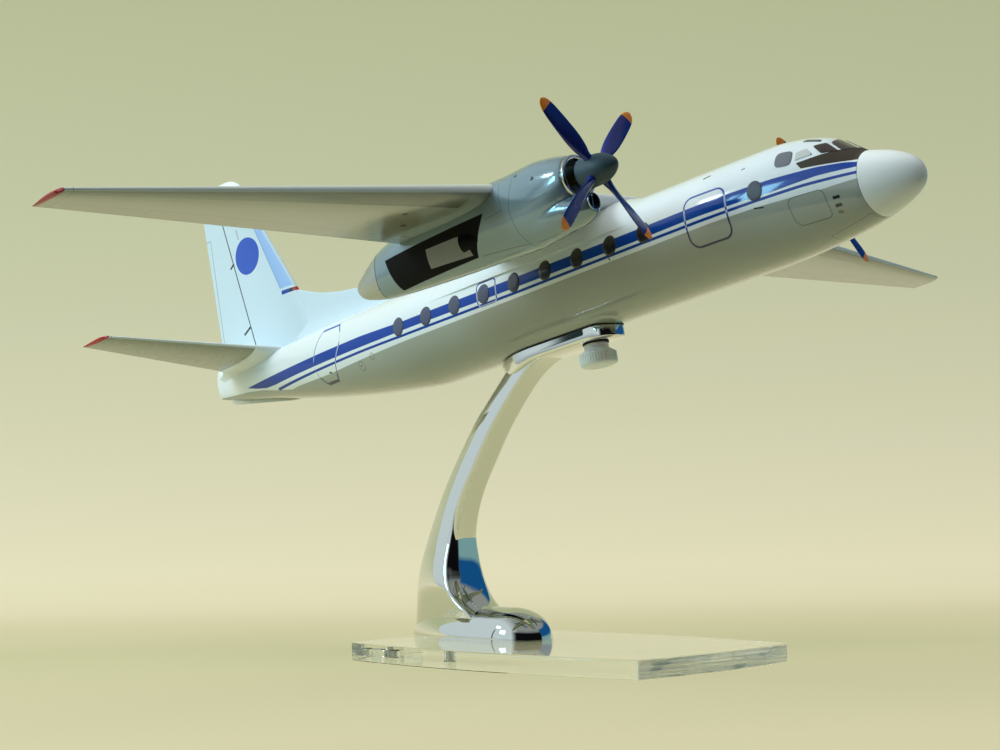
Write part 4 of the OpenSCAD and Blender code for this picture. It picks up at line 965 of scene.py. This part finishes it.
def nacelles():
    barrel = loft("barrel", [nac_ring(s) for s in [COWL_S, 79.5, 80, 80.7, 81.6, 83] + steps(84.5, CONE_S, 54)])
    chin = loft("chin", [chin_ring(s) for s in [74.2, 74.35, 74.7] + steps(75.3, 98, 24)])
    hull = join("nacelle_hull", barrel, chin)
    hull.data.remesh_voxel_size = 0.00032
    bpy.ops.object.voxel_remesh()
    modify(hull, "SMOOTH", factor=0.5, iterations=8)
    groove = turned("ring_cut", [(3.4, -6), (THROAT_R, -6), (THROAT_R, 4.4), (3.4, 4.4)],
                    put_aft(COWL_S, NAC_Y, PROP_Z), n=72)
    cut(hull, bore("lip_cut", LIP_R + 0.02, 70, COWL_S, PROP_Z), groove,
        bore("cooler_cut", 2.6, 70, 80, PROP_Z - 8.5))
    smooth(hull)
    tail = loft("nacelle_cone", [nac_ring(s) for s in [CONE_S + 0.02] + steps(CONE_S + 0.6, 172.5, 16) + [
        173.3, 174, 174.8, 175.4, 175.9, 176.15, NAC_END]])
    w = (LIP_R - THROAT_R) / 2
    bead = [(THROAT_R + w - w * cos(a), w - w * sin(a)) for a in steps(0.1, math.pi - 0.1, 14)]
    lip = turned("intake_lip", [(THROAT_R, 1.5), (THROAT_R, w)] + bead + [(LIP_R, w), (LIP_R, 1.5)],
                 put_aft(LIP_S, NAC_Y, PROP_Z), first="open", last="open")
    edit(lip)
    bpy.ops.mesh.select_mode(type="EDGE")
    bpy.ops.mesh.select_non_manifold()
    bpy.ops.mesh.bridge_edge_loops()
    bpy.ops.mesh.select_mode(type="VERT")
    bpy.ops.mesh.select_all(action="SELECT")
    bpy.ops.mesh.normals_make_consistent(inside=False)
    pick()
    for piece, paint, slot, kind in ((hull, NACELLE, "nacelle_paint", "nacelle"),
                                     (tail, CONE, "tail_metal", "nacelle_tail"),
                                     (lip, LIP, "lip_metal", "intake_ring")):
        right = copied(piece, piece.name + "_right", OTHER_SIDE)
        piece.name = piece.data.name = piece.name + "_left"
        dress(piece, paint, slot=slot, nodes=(kind + "_left",))
        dress(right, paint, slot=slot, nodes=(kind + "_right",))
    for side, name in SIDES:
        keep("oil_cooler_" + name, LIP)
        keep("exhaust_pipe_" + name, SOOT)
        keep("shaft_bush_" + name, BRASS)


nacelles()


# Propellers

def blade_ring(r):
    u = r / BLADE_R
    c = 5 * glide(u, (0.19, 0.5), (0.3, 0.78), (0.45, 0.96), (0.62, 1), (0.8, 0.96), (0.9, 0.84), (0.955, 0.64),
                  (0.985, 0.38), (1, 0.14))
    t = glide(u, (0.19, 2.3), (0.3, 1.7), (0.45, 1.25), (0.62, 1), (0.8, 0.8), (0.95, 0.6), (1, 0.25))
    b = rad(20 + glide(u, (0.19, 22), (0.3, 17), (0.45, 9), (0.62, 0), (0.8, -6), (1, -10)))
    k = ease((r - 4.4) / 2.6)
    ring = []
    for a in steps(0, rad(350), 35):
        p, h = c / 2 * cos(a), t / 2 * sin(a) * (1 - 0.25 * cos(a))
        p, h = mix(ROOT_R * cos(a), p, k), mix(ROOT_R * sin(a), h, k)
        ring.append(Vector((p * sin(b) - h * cos(b), p * cos(b) + h * sin(b), r)))
    return ring


def propellers():
    radii = [1.8, 2.4, 3.2, 4, 4.6] + steps(5, 24, 26) + [24.5, 25, 25.5, 25.9, 26.2, 26.5, 26.7, 26.85, 26.97,
                                                          27.05, BLADE_R]
    back_r, nose = 4.6, (0.02, 0.08, 0.18, 0.35, 0.6, 0.9, 1.3, 1.8, 2.4, 3, 3.7, 4.4, 5.2, 6, 7, 8)
    profile = [(0.02, 0)] + [(back_r * (1 - (1 - z / nose[-1]) ** 1.9) ** 0.58, z) for z in nose] + [
        (back_r, z) for z in (9, 10, 11.4, 12.3)] + [(4.4, 12.5)]
    for side, name in SIDES:
        axis = (side * NAC_Y, PROP_Z)
        for k in range(4):
            turn = Matrix.Rotation(rad(45 + 90 * k), 3, "X")
            rings = [[turn @ p for p in blade_ring(r)] for r in radii]
            blade = loft("prop_blade_%s_%d" % (name, k + 1), [
                [place(BLADE_S - p.x, axis[0] + p.y, axis[1] + p.z) for p in ring] for ring in rings])
            dress(blade, BLADES[name], "prop_" + name, "blade_paint", ("blade_%s_%d" % (name, k + 1),))
        shell = turned("spinner_shell_" + name, profile, put_aft(63.2, *axis), first="point")
        dress(shell, SPINNER, "prop_" + name, "spinner_paint", ("spinner_" + name,))
        keep("prop_hub_" + name, HUB)
        keep("prop_shaft_" + name, STEEL)
        keep("shaft_collar_" + name, STEEL)


propellers()


# Windows

# Stations and angles of the corners of the cockpit panes
PANES = (((23.3, 28.2), (23.7, 4.5), (16.9, 7), (19.3, 36.5)),
         ((27.5, 41.5), (24, 31.8), (20, 39.8), (24.3, 54.2)),
         ((31.9, 52), (29, 45.5), (26.6, 56.4), (31.8, 63)),
         ((31.8, 30.5), (31.3, 24.5), (26.4, 25), (26.2, 30.5)))
SIDE_PANE = ((38.2, 47.5), (32.8, 47.5), (32.8, 67.5), (38.2, 67.5))


def pane(corners, side, power=9, n=10):
    """A rounded sheet that lies on the skin between four corners of station and angle."""
    rim = []
    for k in range(4 * n):
        t = k % n / n
        u, v = ((t, 0), (1, t), (1 - t, 1), (0, 1 - t))[k // n]
        du, dv = 2 * u - 1, 2 * v - 1
        m = (abs(du) ** power + abs(dv) ** power) ** (1 / power)
        rim.append((du / m, dv / m))
    rings = []
    for k, d in ((1, -0.2), (1, 0.05), (0.985, 0.11), (0.955, 0.14), (0.8, 0.14), (0.6, 0.14), (0.4, 0.14),
                 (0.2, 0.14)):
        ring = []
        for du, dv in rim:
            u, v = (k * du + 1) / 2, (k * dv + 1) / 2
            s, q = ((1 - u) * (1 - v) * w0 + u * (1 - v) * w1 + u * v * w2 + (1 - u) * v * w3
                    for w0, w1, w2, w3 in zip(*corners))
            ring.append(skin(s, rad(q) * side, d))
        rings.append(ring)
    return loft("pane", rings, last="point")


def porthole(s, z, side):
    """An oval pane that stands a little proud of the skin."""
    def spot(k, a, d):
        u, v = s + 2.5 * k * cos(a), z + 3 * k * sin(a)
        top, low = skin_top(u), skin_low(u)
        c = (v - (top + low) / 2) / ((top - low) / 2)
        return skin(u, side * math.acos(math.copysign(abs(c) ** 1.05, c)), d)
    return loft("porthole", [[spot(k, a, d) for a in steps(0, rad(350), 35)] for k, d in (
        (1, -0.3), (1, 0.06), (0.97, 0.12), (0.9, 0.15), (0.6, 0.17), (0.3, 0.17))], last="point")


def windows():
    parts = []
    for side, name in SIDES:
        parts += [pane(corners, side) for corners in PANES]
        parts.append(pane(SIDE_PANE, side, power=3.6))
    dress(join("cockpit_glazing", *parts), PANE, slot="pane_dark", nodes=("cockpit_windows",))
    for side, name in SIDES:
        row = [porthole(ROW_S + ROW_STEP * i, ROW_Z, side) for i in range(9)]
        row.append(porthole(FRONT_S, FRONT_Z, side))
        dress(join("cabin_panes_" + name, *row), PORTHOLE, slot="pane_dark", nodes=("cabin_windows_" + name,))


windows()


# Stand

def foot_ring(u):
    cx, k, kr = -22, (1 - u ** 2.4) ** 0.55, (1 - u * u) ** 0.15
    b, l, z = k * 11, 48.5 * kr, PLATE_T + 10.8 * u
    right = [(cx - l * v, b * (1 - v ** 2.8)) for v in steps(0.985, 0.04, 24)]
    nose = [(cx + 14.3 * k * cos(a), b * sin(a)) for a in steps(rad(90), rad(-90), 36)]
    left = [(x, -y) for x, y in reversed(right)]
    return [Vector((x, y, z)) * MM for x, y in right + nose + left + [(cx - l, 0)]]


def arm_ring(t):
    """Section of the column. Its front face is flat above and swells towards the foot."""
    fz, rz = PLATE_T + 92.2 * t, PLATE_T + 90 * t
    fx = glide(fz, (6, -32), (13, -34), (16, -37), (18, -39.5), (21.4, -42.4), (26.3, -44.4), (31.8, -45.1),
               (38.8, -44.7), (45.9, -43), (54.3, -39.6), (65.5, -32.8), (76.6, -25.5), (84, -19.6),
               (90, -14.2), (94, -9.8), (97, -5.5), (98.6, -2), (99.8, 1.5), (101, 3))
    rx = glide(rz, (6, -69.5), (23.9, -67), (45.7, -58.6), (76.3, -39.4), (94.4, -23.1), (98, -20))
    w = glide(fz, (6, 6.5), (12, 8), (17, 9.2), (22, 9.6), (26.3, 9.2), (31.8, 8.2), (38.8, 6.6), (45.9, 5.7),
              (54.3, 5.3), (65.5, 4.95), (92, 4.95), (99, 5.4))
    swell = glide(fz, (14, 3.2), (26, 2.6), (34, 1.6), (42, 0.8), (52, 0.25), (60, 0.1))
    r = glide(fz, (6, 0.5), (20, 1.4), (34, 1.7), (60, 1.5), (92, 1.1), (101, 0.6))
    e = mix(1.5, 2, min(1, t * 1.6))
    start = math.asin((r / abs(rx - fx)) ** (e / 2))
    ring = []
    for a in steps(start, math.pi - start, 60):
        d = sin(a) ** (2 / e)
        ring.append((mix(fx, rx, d), w * math.copysign(abs(cos(a)) ** (2 / e), cos(a)), mix(fz, rz, d)))
    edge, lean = w * abs(cos(start)) ** (2 / e), (rz - fz) / (rx - fx)
    turn = [(edge - r * (1 - cos(b)), r * (1 - sin(b))) for b in steps(0, math.pi / 2, 8)[1:]]
    flat = [(y, 0) for y in steps(r - edge, edge - r, 20)[1:-1]]
    for y, back in [(-y, back) for y, back in turn] + flat + turn[::-1]:
        x = swell * (1 - (abs(y) / edge) ** 2.6) - back
        ring.append((fx + x, y, fz + lean * min(0, x)))
    return [Vector(p) * MM for p in ring]


def boat(u):
    """Half width of the saddle by share of its length, from heel to nose."""
    return math.sqrt(1 - (1 - u / 0.12) ** 2) if u < 0.12 else 1 if u < 0.55 else 1 - ((u - 0.55) / 0.45) ** 3.2


def saddle_ring(u):
    w = max(0.05, boat(u) * 6.5)
    s = HOLD_S + 42 - 52.7 * (1 - u)
    low = -HALF_H - SADDLE_T - 2 * ease((u - 0.6) / 0.25) + 3.4 * ease((u - 0.9) / 0.1) ** 2

    def belly(y):
        return -(HALF_H + PAD_T) * (1 - (abs(y) / (HALF_W + PAD_T)) ** 2.1) ** (1 / 2.1)
    r = min(0.5, w * 0.4)
    side = [(w - r, low), (w - r * 0.5, low + r * 0.13), (w - r * 0.13, low + r * 0.5), (w, low + r),
            (w, mix(low, belly(w), 0.6)), (w, belly(w) - 0.15), (w - 0.1, belly(w))]
    top = [(y, belly(y)) for y in steps(w - 0.3 * min(1, w), -w + 0.3 * min(1, w), 16)]
    return [place(s, y, z) for y, z in side + top + [(-y, z) for y, z in reversed(side)]]


def stand():
    foot = loft("foot", [foot_ring(u) for u in steps(0, 0.9, 30) + [0.93, 0.955, 0.975, 0.987, 0.995]])
    column = loft("column", [arm_ring(t) for t in steps(0.03, 1.03, 90)])
    shares = (0, 0.003, 0.01, 0.02, 0.035, 0.05, 0.07, 0.09, 0.12, 0.2, 0.35, 0.55, 0.6, 0.65, 0.7, 0.75, 0.8,
              0.84, 0.88, 0.91, 0.94, 0.965, 0.985, 0.995, 1)
    saddle = loft("saddle", [saddle_ring(u) for u in shares])
    dress(join("stand_casting", foot, column, saddle), CHROME, slot="chrome_cast", nodes=("stand_arm",))
    for node, paint in (("saddle_pad", BLACK_MATTE), ("base_screw", STEEL), ("base_pin", STEEL),
                        ("belly_insert", BRASS), ("belly_block", RESIN)):
        keep(node, paint)


stand()


def base():
    def arc(a, b, bow, n):
        mid, half = (a + b) / 2, (b - a) / 2
        out = Vector((half.y, -half.x, 0)).normalized()
        r = (half.length ** 2 + bow ** 2) / (2 * bow)
        return [mid + half * t + out * (math.sqrt(r * r - (half.length * t) ** 2) - (r - bow))
                for t in steps(-1, 1, n)[:-1]]
    c = [Vector((x * PLATE_X, y * PLATE_Y, 0)) for x, y in ((1, 1), (-1, 1), (-1, -1), (1, -1))]
    rim = arc(c[0], c[1], 6, 40) + arc(c[1], c[2], 3, 24) + arc(c[2], c[3], 6, 40) + arc(c[3], c[0], 3, 24)
    plate = loft("base_sheet", [[(p + Vector((0, 0, z))) * MM for p in rim] for z in (0, PLATE_T)])

    def hole(r, x, top):
        return turned("hole", [(r, -1), (r, top)], lambda h, a, b: Vector((x + a, b, h)) * MM, n=48)
    screw_x, pin_x = -59, -32
    cut(plate, hole(2.2, screw_x, 8), hole(4.45, screw_x, 2.4), hole(2.42, pin_x, 8))
    modify(plate, "BEVEL", width=0.25 * MM, segments=2, limit_method="ANGLE", angle_limit=rad(24))
    smooth(plate, 20)
    dress(plate, ACRYLIC, slot="clear_acrylic", nodes=("base_plate",))


base()


# Thumb screw

def knob():
    top_z = -HALF_H - SADDLE_T - WASHER_T

    def put(h, a, b):
        return place(HOLD_S + a, b, top_z - h)

    def flutes(r, h, a):
        """Depth of the 40 grooves round the rim."""
        k = ease((h - 2.9) / 0.5) * ease((6.7 - h) / 0.4)
        return -0.32 * k * max(0, cos(a * 40)) ** 0.8
    profile = [(3.2, 0), (3.8, 0), (3.95, 0.1), (4, 0.3), (4, 1.6), (4.1, 1.8), (5.6, 2.9), (5.95, 3.1),
               (6.1, 3.3), (6.12, 3.6), (6.12, 4.2), (6.12, 5), (6.12, 5.8), (6.12, 6.2), (6.05, 6.5),
               (5.85, 6.75), (5.2, 7.15), (4.6, 7.28), (0.5, 7.3)]
    piece = turned("knurled_knob", profile, put, n=480, wave=flutes, last="point")
    dress(piece, KNOB, "thumb_screw", "white_knob", ("thumb_knob",))
    keep("thumb_stud", STEEL)
    keep("screw_washer", BLACK_MATTE)


knob()


# Floor, backdrop and light

def backdrop():
    pick()
    bpy.ops.mesh.primitive_plane_add(size=1)
    sweep = bpy.context.object
    sweep.name = sweep.data.name = "backdrop_sheet"
    mesh = edit(sweep)
    for v in mesh.verts:
        v.co = Vector((v.co.x * 1.7 - 0.43, v.co.y * 0.55 + 0.025, 0))
        v.select = v.co.y > 0
    mesh.select_flush(True)
    bmesh.update_edit_mesh(sweep.data)
    for a in steps(rad(3), rad(90), 20):
        bpy.ops.mesh.extrude_region_move(TRANSFORM_OT_translate={"value": (0, cos(a) * 0.03, sin(a) * 0.03)})
    bpy.ops.mesh.extrude_region_move(TRANSFORM_OT_translate={"value": (0, 0, 0.5)})
    bpy.ops.mesh.select_all(action="SELECT")
    bpy.ops.mesh.normals_make_consistent(inside=False)
    bpy.ops.object.mode_set(mode="OBJECT")
    sweep.data.transform(Matrix.Rotation(YAW, 4, "Z"))
    if min(face.normal.z for face in sweep.data.polygons) < -0.5:
        sweep.data.flip_normals()
    bpy.ops.object.shade_smooth()
    p = Paint("backdrop_paper", Roughness=0.9, Specular_IOR_Level=0.1)
    x, y, z = p.axes()
    far = y * cos(YAW) - x * sin(YAW)
    # Paper tone by distance and height: brightest in a band across the middle, darker towards the near edge and
    # higher up, as painted light falloff.
    stops = ((0, shade(216, 211, 172)), (1, shade(190, 196, 156)), (0.2, shade(205, 203, 160)),
             (0.31, shade(214, 208, 168)), (0.42, shade(228, 222, 186)), (0.47, shade(231, 225, 190)),
             (0.62, shade(218, 215, 182)), (0.78, shade(203, 205, 170)))
    tone = p.node("ShaderNodeValToRGB", {"stops": stops}, p.ramp(far + z, -200, 1100))
    p.set("Base Color", p.node("ShaderNodeVectorMath", {"operation": "SCALE"}, tone, None, None, 0.8))
    seen = either(*(p.node("ShaderNodeLightPath", {}, out=k) for k in (0, 3, 6)))
    paper = p.blend(seen * 0.7, p.shader, p.node("ShaderNodeEmission", {}, tone, 1.06))
    behind = p.node("ShaderNodeNewGeometry", {}, out=6)
    p.show(p.blend(behind, paper, p.node("ShaderNodeBsdfTransparent", {}, (1, 1, 1, 1))))
    sweep.data.materials.append(p.material)


backdrop()


def lamp(name, where, toward, size, power, color, mirrored=False):
    data = bpy.data.lights.new(name, "AREA")
    data.shape, data.size, data.size_y, data.energy, data.color = "RECTANGLE", size[0], size[1], power, color
    thing = bpy.data.objects.new(name, data)
    bpy.context.collection.objects.link(thing)
    thing.location = where
    thing.rotation_euler = (Vector(toward) - Vector(where)).to_track_quat("-Z", "Y").to_euler()
    thing.visible_glossy = mirrored


lamp("window_light", (-0.38, -1.1, 0.48), (0.05, 0, 0.14), (0.28, 0.25), 2.6, (0.36, 0.8, 1), mirrored=True)
lamp("high_window", (-0.66, -0.83, 0.75), (0.05, 0, 0.18), (0.2, 0.12), 1.2, (0.7, 0.88, 1), mirrored=True)
lamp("wall_light", (-0.95, -0.95, 0.9), (0, 0, 0.12), (1.2, 0.8), 13, (0.88, 0.95, 1))
lamp("side_window", (-1.0, 0.15, 1.3), (0, 0, 0.12), (0.6, 0.4), 5, (0.9, 0.96, 1))
lamp("ceiling_light", (0.1, 0.1, 1.9), (0, 0, 0.1), (1.4, 1.4), 14.5, (1, 0.99, 0.96))


def room():
    """A room with a bright wall on the left and a dark side behind the camera, which mostly mirrors show."""
    world = bpy.data.worlds.new("room")
    bpy.context.scene.world = world
    world.use_nodes = True
    p = Nodes(world.node_tree)
    x, y, z = p.split(p.node("ShaderNodeTexCoord", {}, out=0))
    side, back = x * cos(YAW) + y * sin(YAW), x * sin(YAW) - y * cos(YAW)
    mirror = p.node("ShaderNodeLightPath", {}, out=3)
    low = p.mix(p.ramp(back, 0.3, 0.6), shade(150, 147, 116), shade(52, 52, 46))
    high = p.mix(p.ramp(back, 0.35, 0.7), shade(84, 102, 112), shade(60, 72, 80))
    color = p.mix(p.ramp(z, -0.2, 0.05), low, high)
    color = p.mix(p.ramp(z, 0.3, 0.65), color, shade(146, 150, 144))
    wall = p.mix(mirror, shade(140, 150, 152), shade(208, 222, 224))
    color = p.mix(p.ramp(side, -0.3, -0.6) * p.ramp(z, -0.15, 0.05), color, wall)
    right = p.over(side, 0.35, 0.05) * p.over(0.36, back, 0.04) * p.over(z, -0.3, 0.02) * p.over(0.6, z, 0.05)
    color = p.mix(right, color, p.mix(p.over(z, 0.14, 0.05), shade(126, 168, 168), shade(20, 84, 140)))
    near = p.over(back, 0.36, 0.04) * p.over(side, -0.5, 0.1) * p.over(0.45, z, 0.05)
    color = p.mix(near, color, shade(14, 14, 16))
    shelf = p.over(-0.9, side, 0.01) * p.over(back, 0.052, 0.004) * p.over(0.09, back, 0.004)
    color = p.mix(shelf * p.over(z, 0.03, 0.01) * mirror, color, shade(36, 48, 52))
    color = p.mix(p.node("ShaderNodeLightPath", {}, out=0), color, shade(222, 218, 182))
    p.fill(p.tree.nodes["Background"].inputs[0], color)


room()
bpy.context.scene.view_settings.view_transform = "Standard"
